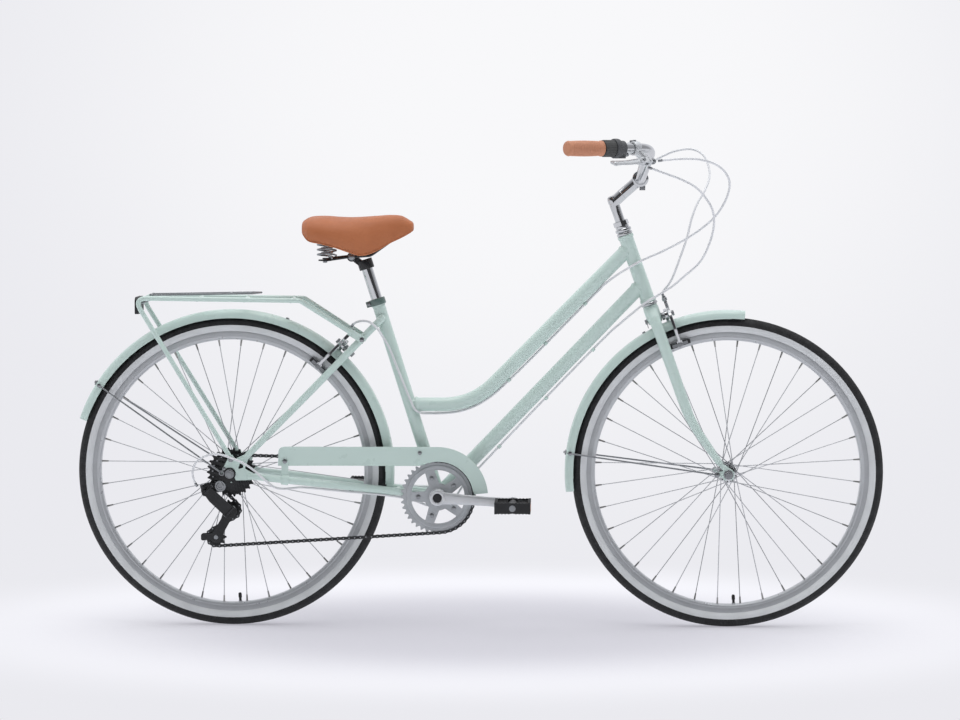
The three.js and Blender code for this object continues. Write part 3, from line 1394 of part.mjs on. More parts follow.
addPart('jockey_upper', jockeySolid(cageCentre), blackPlastic);
addPart('jockey_lower', jockeySolid(lowerCentre), blackPlastic);

// Chainguard
function chainguardSolid() {
  const top = crankCentre.z + guardOuterRadius;
  const mouthOuter = guardMouth;
  const outer = arcPoints(crankCentre, guardOuterRadius, mouthOuter, Math.PI / 2, 6);
  const innerEnd = Math.PI - Math.asin((guardTailBottom - crankCentre.z) / guardInnerRadius);
  const inner = arcPoints(crankCentre, guardInnerRadius, innerEnd, guardMouth, 8);
  const outline = [...outer, v3(guardTail + guardFlange, 0, top), v3(guardTail, 0, top - guardFlange),
    v3(guardTail - 1, 0, guardTailBottom), ...inner];
  const y = -guardPlateSide;
  const plate = sidePlate(outline, y, guardPlate);
  const flangeY = y + (guardPlate + guardFlange) / 2 - 1;
  const rim = (radius) => arcPoints(crankCentre, radius, mouthOuter, Math.PI / 2, 6);
  const flangeTop = [...rim(guardOuterRadius), v3(guardTail + guardFlange, 0, top),
    v3(guardTail + guardFlange, 0, top - guardPlate), ...rim(guardOuterRadius - guardPlate).reverse()];
  const flange = sidePlate(flangeTop, flangeY, guardFlange);
  const strapFoot = along(rearAxle, chainStayWay, strapAhead);
  const stayAt = aside(strapFoot, -staySideAt(strapAhead));
  const strapTop = v3(strapFoot.x, y, guardTailBottom + strapThickness);
  const ringInner = boreFor(stayRadius, roundSides);
  const stayRun = aside(along(rearAxle, chainStayWay, strapAhead + strapWidth),
      -staySideAt(strapAhead + strapWidth))
    .sub(stayAt).normalize();
  const ringOuter = ringInner + strapThickness;
  const ring = collar(along(stayAt, stayRun, -strapWidth / 2), stayRun, ringInner, ringOuter, strapWidth);
  const arm = strip(v3(strapTop.x, y - guardPlate / 2 - strapThickness / 2 + 1,
      strapTop.z + 2 * strapThickness),
    v3(strapTop.x, y - guardPlate / 2 - strapThickness / 2 + 1, stayAt.z), forward, strapWidth,
        strapThickness);
  return cut(join(plate, flange, ring, arm), rod(along(stayAt, stayRun, -strapWidth), along(stayAt, stayRun,
      strapWidth),
    ringInner));
}

function staySideAt(run) {
  const w = chainStayWaist;
  const share = (run - stayEndDistance) / (w.near - stayEndDistance);
  return dropoutMid + (w.nearSide - dropoutMid) * share;
}

addPart('chainguard', chainguardSolid(), mint);

// Rear rack with its reflector, and the sprung clip
function rackSolid() {
  const sideFrame = (side) => {
    const foot = v3(rearAxle.x - rackFoot.back, side * rackFootSide, rearAxle.z + rackFoot.up);
    const corners = [
      foot,
      v3(rackRear, side * rackHalfWidth, rackRailHeight),
      v3(rackFront, side * rackHalfWidth, rackFrontHeight),
      v3(rackArmEnd.x, side * rackArmEnd.side, rackArmEnd.z),
    ];
    const plateEnd = v3(rackPlateEnd.x, side * (rackArmEnd.side - rackPlateThickness / 2), rackPlateEnd.z);
    return [
      tube(rounded(corners, rackBend, 2), rackTubeRadius, boltSides),
      strip(along(corners[3], forward, -rackPlateWidth / 2), plateEnd, sideways, rackPlateThickness,
          rackPlateWidth),
      acrossRod(foot, side * (rackFootSide - rackTubeRadius), side * (rackFootSide + rackTubeRadius),
        1.4 * rackTubeRadius, boltSides),
    ];
  };
  const fall = (rackFrontHeight - rackRailHeight) / (rackFront - rackRear);
  const bars = rackCrossAt.map((x) => acrossRod(v3(x, 0, rackRailHeight + (x - rackRear) * fall - sunk),
    -rackHalfWidth, rackHalfWidth, rackTubeRadius - sunk, boltSides));
  const plateX = rackRear + reflectorThickness / 2;
  const plateTop = rackRailHeight + sunk;
  const reflector = strip(v3(plateX, -reflectorHalfWidth, plateTop - reflectorHeight / 2),
    v3(plateX, reflectorHalfWidth, plateTop - reflectorHeight / 2), upward, reflectorHeight,
        reflectorThickness);
  const arms = [-1, 1].map((side) => rod(v3(rackCrossAt[0], side * clipHalfWidth, rackRailHeight - 2 * sunk),
    v3(plateX, side * clipHalfWidth, plateTop - reflectorHeight / 2), 2 * railRadius / 3, 6));
  return join([-1, 1].flatMap(sideFrame), bars, reflector, arms);
}

addPart('rear_rack', rackSolid(), mint);

function clipSolid() {
  const corner = (x, z, side) => v3(x, side * clipHalfWidth, z);
  const tip = clipTip;
  const half = (side) => [corner(tip - clipShoulder, clipHinge.z + clipRise, side), corner(clipHinge.x,
      clipHinge.z, side)];
  const [rightFront, rightBack] = half(-1);
  const [leftFront, leftBack] = half(1);
  const nose = v3(tip, 0, clipHinge.z + clipRise + sunk);
  return tube(rounded([rightBack, rightFront, nose, leftFront, leftBack], clipHalfWidth / 3, 2), clipRadius,
      boltSides);
}

addPart('rack_spring_clip', join(clipSolid(),
  acrossRod(v3(clipHinge.x, 0, clipHinge.z), -clipHalfWidth, clipHalfWidth, clipBarrelRadius, boltSides)),
      steel);

// Saddle
function cushionSolid() {
  const point = (station, [widthShare, fall, edge], side) => {
    const low = edge === 'hem' ? station.hem : station.under;
    return v3(station.x, side * widthShare * station.half, station.top - (station.top - low) * fall);
  };
  const rings = saddleStations.map((station) => {
    const right = cushionShares.map((share) => point(station, share, -1));
    const left = cushionShares.slice(1).reverse().map((share) => point(station, share, 1));
    return [...right, ...left];
  });
  return loft(rings, [v3(saddleTail.x, 0, saddleTail.z), v3(saddleNose.x, 0, saddleNose.z)]);
}

addPart('saddle_cushion', cushionSolid(), tan);

function railsSolid() {
  const clampBack = v3(saddleClamp.x, 0, saddleClamp.z);
  const rail = (side) => {
    const foot = v3(springCentre.x, side * springCentre.side, springSeat - washerThickness / 2 - fitGap);
    return [
      tube(rounded([
        foot,
        v3(saddleClamp.x - 3 * railRadius, side * railGauge, saddleClamp.z),
        v3(saddleClamp.x + 12 * railRadius, side * railGauge, saddleClamp.z + railRadius),
        v3(noseRailEnd.x, side * noseRailEnd.side, noseRailEnd.z),
      ], 3 * railRadius, 1), railRadius, boltSides),
      rod(v3(springCentre.x, side * springCentre.side, springSeat - washerThickness - fitGap),
        v3(springCentre.x, side * springCentre.side, springSeat - fitGap), washerRadius, smallSides),
    ];
  };
  const nose = rod(v3(noseRailEnd.x, -noseRailEnd.side - railRadius, noseRailEnd.z),
    v3(noseRailEnd.x, noseRailEnd.side + railRadius, noseRailEnd.z), railRadius, boltSides);
  const postTop = seatTubeLength + seatPostOutside;
  const ringBase = onSeat(postTop - clampRingHeight);
  const bore = boreFor(seatPostRadius, roundSides);
  const bridge = strip(v3(saddleClamp.x, 0, saddleClamp.z), onSeat(postTop - clampRingHeight / 2), sideways,
    2 * saddleClamp.radius, 1.6 * saddleClamp.radius);
  return cut(
    join(
      rail(-1), rail(1), nose, bridge,
      collar(ringBase, seatUp, bore, clampRingRadius, clampRingHeight),
      strip(aside(clampBack, -railGauge - 2 * railRadius), aside(clampBack, railGauge + 2 * railRadius),
          forward,
        2 * saddleClamp.radius, 2 * (saddleClamp.radius - sunk)),
    ),
    rod(along(ringBase, seatUp, -overrun), along(ringBase, seatUp, clampRingHeight + overrun), bore),
  );
}

addPart('saddle_rails', railsSolid(), darkSteel);

// A coil spring: straight down out of the cushion, round its turns, straight down to the washer
function springSolid(side) {
  const steps = springTurns * springTurnSteps;
  const centre = v3(springCentre.x, side * springCentre.side, springSeat + springWire + 2 * fitGap);
  const rise = springPitch / springTurnSteps;
  const points = Array.from({ length: steps + 1 }, (_, i) => {
    const angle = (2 * Math.PI * i) / springTurnSteps;
    return v3(centre.x + springRadius * Math.cos(angle), centre.y + springRadius * Math.sin(angle),
      centre.z + springWire + i * rise);
  });
  const ends = [along(points[0], upward, -2 * springWire), along(points.at(-1), upward, 2 * springWire)];
  const route = [ends[0], ...points, ends[1]];
  const apart = points.flatMap((p, i) => points.slice(i + springTurnSteps / 2).map((q) => p.distanceTo(q)));
  const leastGap = Math.min(...apart) - 2 * springWire;
  if (side > 0) console.log(`spring: least gap between its turns ${leastGap.toFixed(2)} mm`);
  return tube(route, springWire, springSides);
}

addPart('saddle_spring_right', springSolid(-1), steel);
addPart('saddle_spring_left', springSolid(1), steel);

// Cables in their housing
const cable = (route) => tube(route.map((p) => v3(...p)), cableRadius, cableSides);
addPart('rear_brake_cable', cable(rearBrakeRoute), housing);
addPart('shift_cable', cable(shiftRoute), housing);
addPart('front_brake_cable', cable(frontBrakeRoute), housing);

export default bike;
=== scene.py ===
# Step-through bicycle: the visible pieces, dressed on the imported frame.
# Lengths are millimetres until a piece is made; +X is forward, +Y the rider's left, +Z up.
import math

import bmesh
import bpy
from mathutils import Matrix, Vector


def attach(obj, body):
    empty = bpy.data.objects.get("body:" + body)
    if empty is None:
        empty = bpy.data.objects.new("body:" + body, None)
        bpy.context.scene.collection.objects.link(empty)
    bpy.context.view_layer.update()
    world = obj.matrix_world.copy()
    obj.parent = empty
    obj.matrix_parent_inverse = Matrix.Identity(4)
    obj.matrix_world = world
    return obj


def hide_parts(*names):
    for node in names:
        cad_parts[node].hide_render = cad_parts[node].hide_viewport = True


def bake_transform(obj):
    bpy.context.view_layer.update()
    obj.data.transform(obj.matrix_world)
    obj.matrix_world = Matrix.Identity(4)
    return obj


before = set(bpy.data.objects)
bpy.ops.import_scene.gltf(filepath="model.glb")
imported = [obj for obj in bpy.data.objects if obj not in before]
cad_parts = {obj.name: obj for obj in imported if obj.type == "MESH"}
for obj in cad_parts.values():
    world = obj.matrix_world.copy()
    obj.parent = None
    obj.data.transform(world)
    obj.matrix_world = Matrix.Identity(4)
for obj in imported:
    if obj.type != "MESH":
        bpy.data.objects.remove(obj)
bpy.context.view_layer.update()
MM = 0.001


def vec(*numbers):
    return Vector(numbers)


# Camera, at the photograph's place in front of the drive side
CAMERA_AT = vec(0.216, -7.0, 1.076)
CAMERA_AIM = vec(0.001, 0.0, 0.601)
CAMERA_LENS = 117.05
CAMERA_SENSOR = 36.0

camera_data = bpy.data.cameras.new("camera")
camera_data.lens = CAMERA_LENS
camera_data.sensor_width = CAMERA_SENSOR
camera_data.clip_end = 60.0
camera = bpy.data.objects.new("camera", camera_data)
camera.location = CAMERA_AT
camera.rotation_euler = (CAMERA_AIM - CAMERA_AT).to_track_quat("-Z", "Y").to_euler()
bpy.context.scene.collection.objects.link(camera)
bpy.context.scene.camera = camera
bpy.context.scene.view_settings.view_transform = "Standard"


# Places and directions; side is -1 on the right, the drive side, and 1 on the left
def axes(degrees):
    """Up along a tube that leans back, and square to it toward the front."""
    angle = math.radians(degrees)
    return vec(-math.cos(angle), 0, math.sin(angle)), vec(math.sin(angle), 0, math.cos(angle))


def square(way):
    """A direction in the bicycle's plane, a quarter turn on."""
    return vec(-way.z, 0, way.x)


X, Y, Z = vec(1, 0, 0), vec(0, 1, 0), vec(0, 0, 1)
SIDES = (-1, 1)
WORD = {-1: "right", 1: "left"}
WHEELBASE = 1115.0
TYRE_R = 349.0
FORK_LENGTH, FORK_RAKE = 412.1, 40.2
TUBE_R, SEAT_TUBE_R, BAR_R = 15.9, 14.3, 11.1
DROPOUT_Y = 67.8
HEAD_UP, HEAD_FORE = axes(70.5)
SEAT_UP, SEAT_FORE = axes(72.5)
REAR, FRONT = vec(-WHEELBASE / 2, 0, TYRE_R), vec(WHEELBASE / 2, 0, TYRE_R)
CRANK = REAR + vec(465.4, 0, -52.5)
RACE = FRONT - HEAD_FORE * FORK_RAKE + HEAD_UP * FORK_LENGTH


def on_head(height, fore=0.0, side=0.0):
    return RACE + HEAD_UP * height + HEAD_FORE * fore + Y * side


def on_seat(height, fore=0.0, side=0.0):
    return CRANK + SEAT_UP * height + SEAT_FORE * fore + Y * side


def around(centre, radius, angle, y=0.0):
    return vec(centre.x + radius * math.cos(angle), y, centre.z + radius * math.sin(angle))


def aside(point, y):
    return vec(point.x, y, point.z)


def flat(points):
    return [(p.x, p.z) for p in points]


STAY_MEET = on_seat(419.0)
CHAINSTAY, SEATSTAY = (CRANK - REAR).normalized(), (STAY_MEET - REAR).normalized()
BRIDGE = REAR + SEATSTAY * 378.0
REAR_OUT = square(SEATSTAY)
RACK_EYELET = REAR + vec(4.5, 0, 34.0)
HANGER = REAR + vec(-20.5, 0, -27.0)
FRONT_BRAKE_AT, FRONT_LAYER, REAR_LAYER = on_head(-32.5), 24.0, 16.0


# Shapes are worked in millimetres; a mark is the number of a face's material
class Shape:
    """A piece under way, gathered from parts that bmesh operators make."""

    def __init__(self):
        self.mesh = bmesh.new()

    def take(self, part, mark=0):
        for face in part.faces:
            face.material_index = mark
        holder = bpy.data.meshes.new("part")
        part.to_mesh(holder)
        part.free()
        self.mesh.from_mesh(holder)
        bpy.data.meshes.remove(holder)
        return self

    def rings(self, rings, mark=0, caps=True, closed=False):
        """A skin drawn from the first ring through the others, corner for corner."""
        part = bmesh.new()
        corners = [part.verts.new(p) for p in rings[0]]
        edges = [part.edges.new(pair) for pair in zip(corners, corners[1:] + corners[:1])]
        first = list(edges)
        for places in rings[1:]:
            drawn = bmesh.ops.extrude_edge_only(part, edges=edges)["geom"]
            fresh = {item for item in drawn if isinstance(item, bmesh.types.BMVert)}
            corners = [next(other for other in (edge.other_vert(corner) for edge in corner.link_edges)
                            if other in fresh) for corner in corners]
            for corner, place in zip(corners, places):
                corner.co = place
            edges = [part.edges.get(pair) for pair in zip(corners, corners[1:] + corners[:1])]
        if closed:
            bmesh.ops.bridge_loops(part, edges=first + edges)
        elif caps:
            bmesh.ops.edgeloop_fill(part, edges=first)
            bmesh.ops.edgeloop_fill(part, edges=edges)
        return self.take(part, mark)

    def tube(self, path, radius, sides=20, flat=1.0, across=None, mark=0, closed=False, caps=True):
        """A round or flattened bar along a path; radius is one value, or one for each point."""
        path = [Vector(p) for p in path]
        radii = radius if isinstance(radius, (list, tuple)) else [radius] * len(path)
        if max(radii) > 4:
            path, radii = cut_long(path, radii)
        count = len(path)
        side = None
        rings = []
        for i, place in enumerate(path):
            before = path[i - 1] if i or closed else place
            after = path[(i + 1) % count] if i < count - 1 or closed else place
            way = (after - before).normalized()
            guide = side or across or (Y if abs(way.y) < 0.9 else Z)
            side = (guide - way * guide.dot(way)).normalized()
            turned = Matrix((side * (radii[i] * flat), way.cross(side) * radii[i], way)).transposed().to_4x4()
            move = Matrix.Translation(place) @ turned
            rings.append([move @ corner for corner in oval(Vector(), X, Y, 1, 1, sides)])
        return self.rings(rings, mark, caps, closed)

    def rod(self, start, end, radius, sides=20, mark=0):
        part = bmesh.new()
        way = end - start
        place = Matrix.Translation((start + end) / 2) @ way.to_track_quat("Z", "X").to_matrix().to_4x4()
        bmesh.ops.create_cone(part, cap_ends=True, segments=sides, radius1=radius, radius2=radius,
                              depth=way.length, matrix=place)
        return self.take(part, mark)

    def lathe(self, origin, axis, profile, sides=40, mark=0, marks=None, soften=0.0):
        """profile holds (radius, distance along the axis); marks may give each stretch its own material."""
        profile = rounded_flat(profile, soften) if soften else profile
        axis = Vector(axis).normalized()
        guide = Z if abs(axis.z) < 0.9 else X
        side = (guide - axis * guide.dot(axis)).normalized()
        origin = Vector(origin)
        marks = marks or [mark] * (len(profile) - 1)
        start = 0
        for i in range(1, len(profile)):
            if i < len(profile) - 1 and marks[i] == marks[start]:
                continue
            part = bmesh.new()
            line = [part.verts.new(origin + axis * height + side * radius)
                    for radius, height in profile[start:i + 1]]
            line += [part.edges.new(pair) for pair in zip(line, line[1:])]
            bmesh.ops.spin(part, geom=line, cent=origin, axis=axis, angle=2 * math.pi, steps=sides,
                           use_merge=True, dvec=(0, 0, 0), use_duplicate=False)
            bmesh.ops.remove_doubles(part, verts=part.verts, dist=0.002)
            self.take(part, marks[start])
            start = i
        return self

    def plate(self, outline, y, thickness, holes=(), mark=0, basis=None):
        """A plate in the XZ plane, or in the plane of basis: origin, across, up, out."""
        origin, across, up, out = basis or (Vector(), X, Z, Y)
        part = bmesh.new()
        edges = []
        for loop in (outline, *holes):
            corners = [part.verts.new(origin + across * p[0] + up * p[1] + out * (y - thickness / 2))
                       for p in loop]
            edges += [part.edges.new(pair) for pair in zip(corners, corners[1:] + corners[:1])]
        bmesh.ops.triangle_fill(part, use_beauty=True, use_dissolve=False, edges=edges)
        drawn = bmesh.ops.extrude_face_region(part, geom=part.faces[:], use_keep_orig=True)["geom"]
        corners = [item for item in drawn if isinstance(item, bmesh.types.BMVert)]
        bmesh.ops.translate(part, verts=corners, vec=out * thickness)
        return self.take(part, mark)

    def block(self, centre, ways, halves, mark=0):
        """A box from its centre, three directions and three half sizes."""
        part = bmesh.new()
        turned = Matrix([way * half for way, half in zip(ways, halves)]).transposed().to_4x4()
        bmesh.ops.create_cube(part, size=2.0, matrix=Matrix.Translation(centre) @ turned)
        return self.take(part, mark)

    def strip(self, start, end, wide, width, thick, mark=0):
        way = (end - start).normalized()
        side = (wide - way * wide.dot(way)).normalized()
        return self.block((start + end) / 2, (way, side, way.cross(side)),
                          ((end - start).length / 2, width / 2, thick / 2), mark)

    def bolt(self, base, out, radius, height, mark=1, sides=6):
        """A hexagon head with its washer face."""
        out = out.normalized()
        thin = height * 0.18
        self.lathe(base, out, [(0, 0), (radius * 1.25, 0), (radius * 1.25, thin), (0, thin)], 24, mark)
        head = [(radius * 1.1, 0), (radius * 1.1, height * 0.7), (radius * 0.9, height * 0.82),
                (0, height * 0.82)]
        return self.lathe(base + out * thin, out, head, sides, mark)

    def bolts(self, middle, out, reach, radius, height):
        """A bolt on each side of a place."""
        for sign in SIDES:
            self.bolt(middle + out * (sign * reach), out * sign, radius, height)

    def pin(self, middle, half, radius, sides=20, mark=0, way=Y):
        """A rod that reaches as far on both sides of a place."""
        return self.rod(middle - way * half, middle + way * half, radius, sides, mark)

    def collar(self, start, way, inner, outer, length, mark=0, soften=0.8, sides=44):
        return self.lathe(start, way, sleeve(inner, outer, length), sides, mark, soften=soften)


def sleeve(inner, outer, length):
    return [(inner, 0), (outer, 0), (outer, length), (inner, length), (inner, 0)]


def evened(half, skip=1, across=False):
    """A section and its mirror image; across means that the width is the first of each pair."""
    if across:
        return half + [(-x, r) for x, r in half[-2:0:-1]]
    return half + [(r, -y) for r, y in half[-1 - skip::-1]]


def oval(middle, across, up, wide, high, sides, start=0.0, turn=2 * math.pi):
    return [middle + across * (wide * math.cos(start + turn * k / sides))
            + up * (high * math.sin(start + turn * k / sides)) for k in range(sides)]


def curve(a, b, c, steps, reach=1.0):
    """Points from a toward c on a curve that leans to b."""
    return [a * (1 - t) ** 2 + b * (2 * t * (1 - t)) + c * t ** 2
            for t in (k / steps * reach for k in range(steps + 1))]


def rounded_flat(profile, radius):
    """The corners of a flat line cut by small curves."""
    out = [profile[0]]
    for before, here, after in zip(profile, profile[1:], profile[2:]):
        a, b, c = Vector(before), Vector(here), Vector(after)
        r = min(radius, (b - a).length * 0.45, (c - b).length * 0.45)
        if r < 1e-4:
            out.append(here)
            continue
        first = b + (a - b).normalized() * r
        last = b + (c - b).normalized() * r
        middle = (first + last) / 4 + b / 2
        out += [tuple(first), tuple(middle), tuple(last)]
    return out + [profile[-1]]


def cut_long(path, radii, longest=30.0):
    """Long stretches cut into shorter ones, because light falls unevenly on long thin faces."""
    places, sizes = [path[0]], [radii[0]]
    for a, b, first, last in zip(path, path[1:], radii, radii[1:]):
        parts = max(1, math.ceil((b - a).length / longest))
        for k in range(1, parts + 1):
            places.append(a.lerp(b, k / parts))
            sizes.append(first + (last - first) * k / parts)
    return places, sizes


def bent(points, radius, steps=8):
    """A line whose corners are replaced by curves of that radius."""
    points = [Vector(p) for p in points]
    out = [points[0]]
    for a, b, c in zip(points, points[1:], points[2:]):
        come, leave = (a - b).normalized(), (c - b).normalized()
        half = come.angle(leave) / 2
        reach = min(radius / max(math.tan(half), 1e-3), (a - b).length * 0.49, (c - b).length * 0.49)
        out += curve(b + come * reach, b, b + leave * reach, steps)
    return out + [points[-1]]


def round_outline(points, radius, sharp=0.35):
    """A closed flat outline whose sharper corners are rounded."""
    out = []
    for i in range(len(points)):
        a, b, c = (Vector(points[(i + k) % len(points)]) for k in (-1, 0, 1))
        if (b - a).angle(c - b) < sharp:
            out.append(b)
            continue
        reach = min(radius, (b - a).length * 0.48, (c - b).length * 0.48)
        out += curve(b + (a - b).normalized() * reach, b, b + (c - b).normalized() * reach, 4)
    return out


def smooth(points, per=6, closed=False):
    """A Catmull-Rom line through the points."""
    points = [Vector(p) for p in points]
    count = len(points)
    out = []
    for i in range(count if closed else count - 1):
        p = [points[(i + k) % count] if closed else points[min(max(i + k, 0), count - 1)]
             for k in (-1, 0, 1, 2)]
        knots = [0.0]
        for a, b in zip(p, p[1:]):
            knots.append(knots[-1] + max((b - a).length, 1e-3) ** 0.5)
        for step in range(per):
            t = knots[1] + (knots[2] - knots[1]) * step / per
            a = [(p[k] * (knots[k + 1] - t) + p[k + 1] * (t - knots[k])) / (knots[k + 1] - knots[k])
                 for k in range(3)]
            b = [(a[k] * (knots[k + 2] - t) + a[k + 1] * (t - knots[k])) / (knots[k + 2] - knots[k])
                 for k in range(2)]
            out.append((b[0] * (knots[2] - t) + b[1] * (t - knots[1])) / (knots[2] - knots[1]))
    return out if closed else out + [points[-1]]


def flat_arc(centre, radius, start, end, steps):
    return [(centre[0] + radius * math.cos(start + (end - start) * k / steps),
             centre[1] + radius * math.sin(start + (end - start) * k / steps)) for k in range(steps + 1)]


def flat_circle(centre, radius, steps=28):
    return flat_arc(centre, radius, 0, 2 * math.pi, steps)[:-1]


def between(values, samples):
    """Values spread evenly along a line."""
    out = []
    for i in range(samples):
        place = i * (len(values) - 1) / (samples - 1)
        k = min(int(place), len(values) - 2)
        out.append(values[k] + (values[k + 1] - values[k]) * (place - k))
    return out


# Materials
def rgb(code):
    """A colour as it is seen, as the linear values that a shader takes."""
    values = [int(code[i:i + 2], 16) / 255 for i in (1, 3, 5)]
    return tuple(v / 12.92 if v <= 0.04045 else ((v + 0.055) / 1.055) ** 2.4 for v in values) + (1.0,)


class Nodes:
    """A node tree under way: a node is added with its inputs, as sockets or values, and gives one output."""

    def __init__(self, tree):
        self.tree = tree

    def feed(self, node, inputs):
        for socket, value in inputs.items():
            if isinstance(value, bpy.types.NodeSocket):
                self.tree.links.new(value, node.inputs[socket])
            else:
                node.inputs[socket].default_value = value

    def add(self, kind, out, inputs, **settings):
        node = self.tree.nodes.new(f"ShaderNode{kind}")
        for key, value in settings.items():
            setattr(node, key, value)
        self.feed(node, inputs)
        return node.outputs[out]

    def either(self, *sockets):
        """1 where any of the sockets is 1."""
        seen = sockets[0]
        for other in sockets[1:]:
            seen = self.add("Math", 0, {0: seen, 1: other}, operation="MAXIMUM")
        return seen


# Effects that several finishes share, each a node group
class Effect(Nodes):
    """An input is given by its type, or by its usual value if it is a number."""

    def __init__(self, name, inputs, outputs):
        super().__init__(bpy.data.node_groups.new(name, "ShaderNodeTree"))
        for socket, given in inputs.items():
            kind = given if isinstance(given, str) else "Float"
            made = self.tree.interface.new_socket(socket, in_out="INPUT", socket_type=f"NodeSocket{kind}")
            if kind != given:
                made.default_value = given
        for socket, kind in outputs.items():
            self.tree.interface.new_socket(socket, in_out="OUTPUT", socket_type=f"NodeSocket{kind}")
        self.given = self.tree.nodes.new("NodeGroupInput").outputs
        self.place = self.add("TexCoord", "Object", {})

    def done(self, **results):
        self.feed(self.tree.nodes.new("NodeGroupOutput"), results)
        return self.tree


def colour_drift():
    """A second colour that comes and goes in soft clouds."""
    e = Effect("colour_drift", {"Colour": "Color", "Other": "Color", "Scale": 10.0, "Detail": 4.0, "From": 0.4,
                                "To": 0.7, "Amount": 0.5}, {"Colour": "Color"})
    cloud = e.add("TexNoise", "Fac", {"Vector": e.place, "Scale": e.given["Scale"],
                                      "Detail": e.given["Detail"]})
    share = e.add("MapRange", "Result", {"Value": cloud, "From Min": e.given["From"], "From Max": e.given["To"],
                                         "To Max": e.given["Amount"]})
    return e.done(Colour=e.add("Mix", "Result", {
        "Factor": share, "A": e.given["Colour"], "B": e.given["Other"]}, data_type="RGBA"))


def gloss_drift():
    """Roughness that changes a little from place to place."""
    e = Effect("gloss_drift", {"Scale": 40.0, "Low": 0.3, "High": 0.4}, {"Roughness": "Float"})
    cloud = e.add("TexNoise", "Fac", {"Vector": e.place, "Scale": e.given["Scale"], "Detail": 5.0})
    return e.done(Roughness=e.add("MapRange", "Result", {
        "Value": cloud, "From Min": 0.3, "From Max": 0.7, "To Min": e.given["Low"], "To Max": e.given["High"]}))


def fine_grain():
    """The slight unevenness of a coat, a casting or a moulding."""
    e = Effect("fine_grain", {"Scale": 600.0, "Depth": 0.00002, "Normal": "Vector"}, {"Normal": "Vector"})
    cloud = e.add("TexNoise", "Fac", {"Vector": e.place, "Scale": e.given["Scale"], "Detail": 3.0})
    return e.done(Normal=e.add("Bump", "Normal", {"Height": cloud, "Distance": e.given["Depth"],
                                                  "Normal": e.given["Normal"]}))


def pebbles():
    """The small cells of a leather-like skin: their hollows, and a mask of the creases between them, where
    shade is painted.
    """
    e = Effect("pebbles", {"Scale": 800.0, "Depth": 0.0002, "Normal": "Vector"},
               {"Normal": "Vector", "Creases": "Float"})
    cell = e.add("TexVoronoi", "Distance", {"Vector": e.place, "Scale": e.given["Scale"]},
                 feature="DISTANCE_TO_EDGE")
    crease = e.add("MapRange", "Result", {"Value": cell, "From Max": 0.16, "To Min": 1.0, "To Max": 0.0})
    dome = e.add("MapRange", "Result", {"Value": cell, "From Max": 0.3})
    return e.done(Creases=crease, Normal=e.add("Bump", "Normal", {
        "Height": dome, "Distance": e.given["Depth"], "Normal": e.given["Normal"]}))


def turned_lines():
    """Fine lines that run round a wheel: Per is their number in a millimetre of the piece's own map."""
    e = Effect("turned_lines", {"Per": 1.0, "Waver": 0.4}, {"Lines": "Float"})
    scale = e.add("Math", 0, {0: e.given["Per"], 1: WAVE}, operation="MULTIPLY")
    return e.done(Lines=e.add("TexWave", "Fac", {
        "Vector": e.add("TexCoord", "UV", {}), "Scale": scale, "Distortion": e.given["Waver"]},
        bands_direction="Y"))


WAVE = math.pi / 10     # the scale at which a wave texture repeats once in a unit
DRIFT, GLOSS, GRAIN, PEBBLES, LINES = colour_drift(), gloss_drift(), fine_grain(), pebbles(), turned_lines()


class Surface(Nodes):
    """A finish: a Principled shader fed by the shared effects. Depths are in millimetres."""

    def __init__(self, name, colour, roughness, metallic=0.0, coat=0.0, specular=0.5):
        self.material = bpy.data.materials.new(name)
        self.material.use_nodes = True
        super().__init__(self.material.node_tree)
        self.shader = self.tree.nodes["Principled BSDF"]
        self.colour = rgb(colour)
        self.feed(self.shader, {"Base Color": self.colour, "Roughness": roughness, "Metallic": metallic,
                                "Coat Weight": coat, "Coat Roughness": 0.12, "Specular IOR Level": specular})
        self.bent = {}

    def effect(self, tree, out, **inputs):
        return self.add("Group", out, inputs, node_tree=tree)

    def coloured(self, colour):
        self.colour = colour
        self.feed(self.shader, {"Base Color": colour})

    def drift(self, other, scale, low=0.4, high=0.7, amount=0.5, detail=4.0):
        self.coloured(self.effect(DRIFT, "Colour", Colour=self.colour, Other=rgb(other), Scale=scale,
                                  Detail=detail, Amount=amount, From=low, To=high))

    def over(self, other, mask):
        """Another colour where a mask is high."""
        self.coloured(self.add("Mix", "Result", {"A": self.colour, "B": rgb(other), "Factor": mask},
                               data_type="RGBA"))

    def gloss(self, scale, low, high):
        self.feed(self.shader, {"Roughness": self.effect(GLOSS, "Roughness", Scale=scale, Low=low, High=high)})

    def bend(self, normal):
        self.bent = {"Normal": normal}
        self.feed(self.shader, self.bent)
        return normal.node

    def grain(self, scale, depth, tree=GRAIN):
        return self.bend(self.effect(tree, "Normal", Scale=scale, Depth=depth * MM, **self.bent))

    def ribs(self, per, depth, low=0.25, high=0.6, direction="Y"):
        """Moulded ribs or blocks: per counts them in a unit of the piece's own map."""
        wave = self.add("TexWave", "Fac", {"Vector": self.add("TexCoord", "UV", {}), "Scale": per * WAVE},
                        bands_direction=direction)
        step = self.add("MapRange", "Result", {"Value": wave, "From Min": low, "From Max": high})
        self.bend(self.add("Bump", "Normal", {"Height": step, "Distance": depth * MM, **self.bent}))


def coating(name, colour, shade, roughness, clouds, sheen, grain, **shader):
    """clouds and grain are what drift and grain take; sheen is a scale and two steps from the roughness."""
    s = Surface(name, colour, roughness, **shader)
    s.drift(shade, *clouds)
    s.gloss(sheen[0], roughness + sheen[1], roughness + sheen[2])
    s.grain(*grain)
    return s


def painted(name, colour, shade):
    return coating(name, colour, shade, 0.3, (7.0, 0.35, 0.75), (38.0, -0.05, 0.08), (90.0, 0.02), coat=0.4)


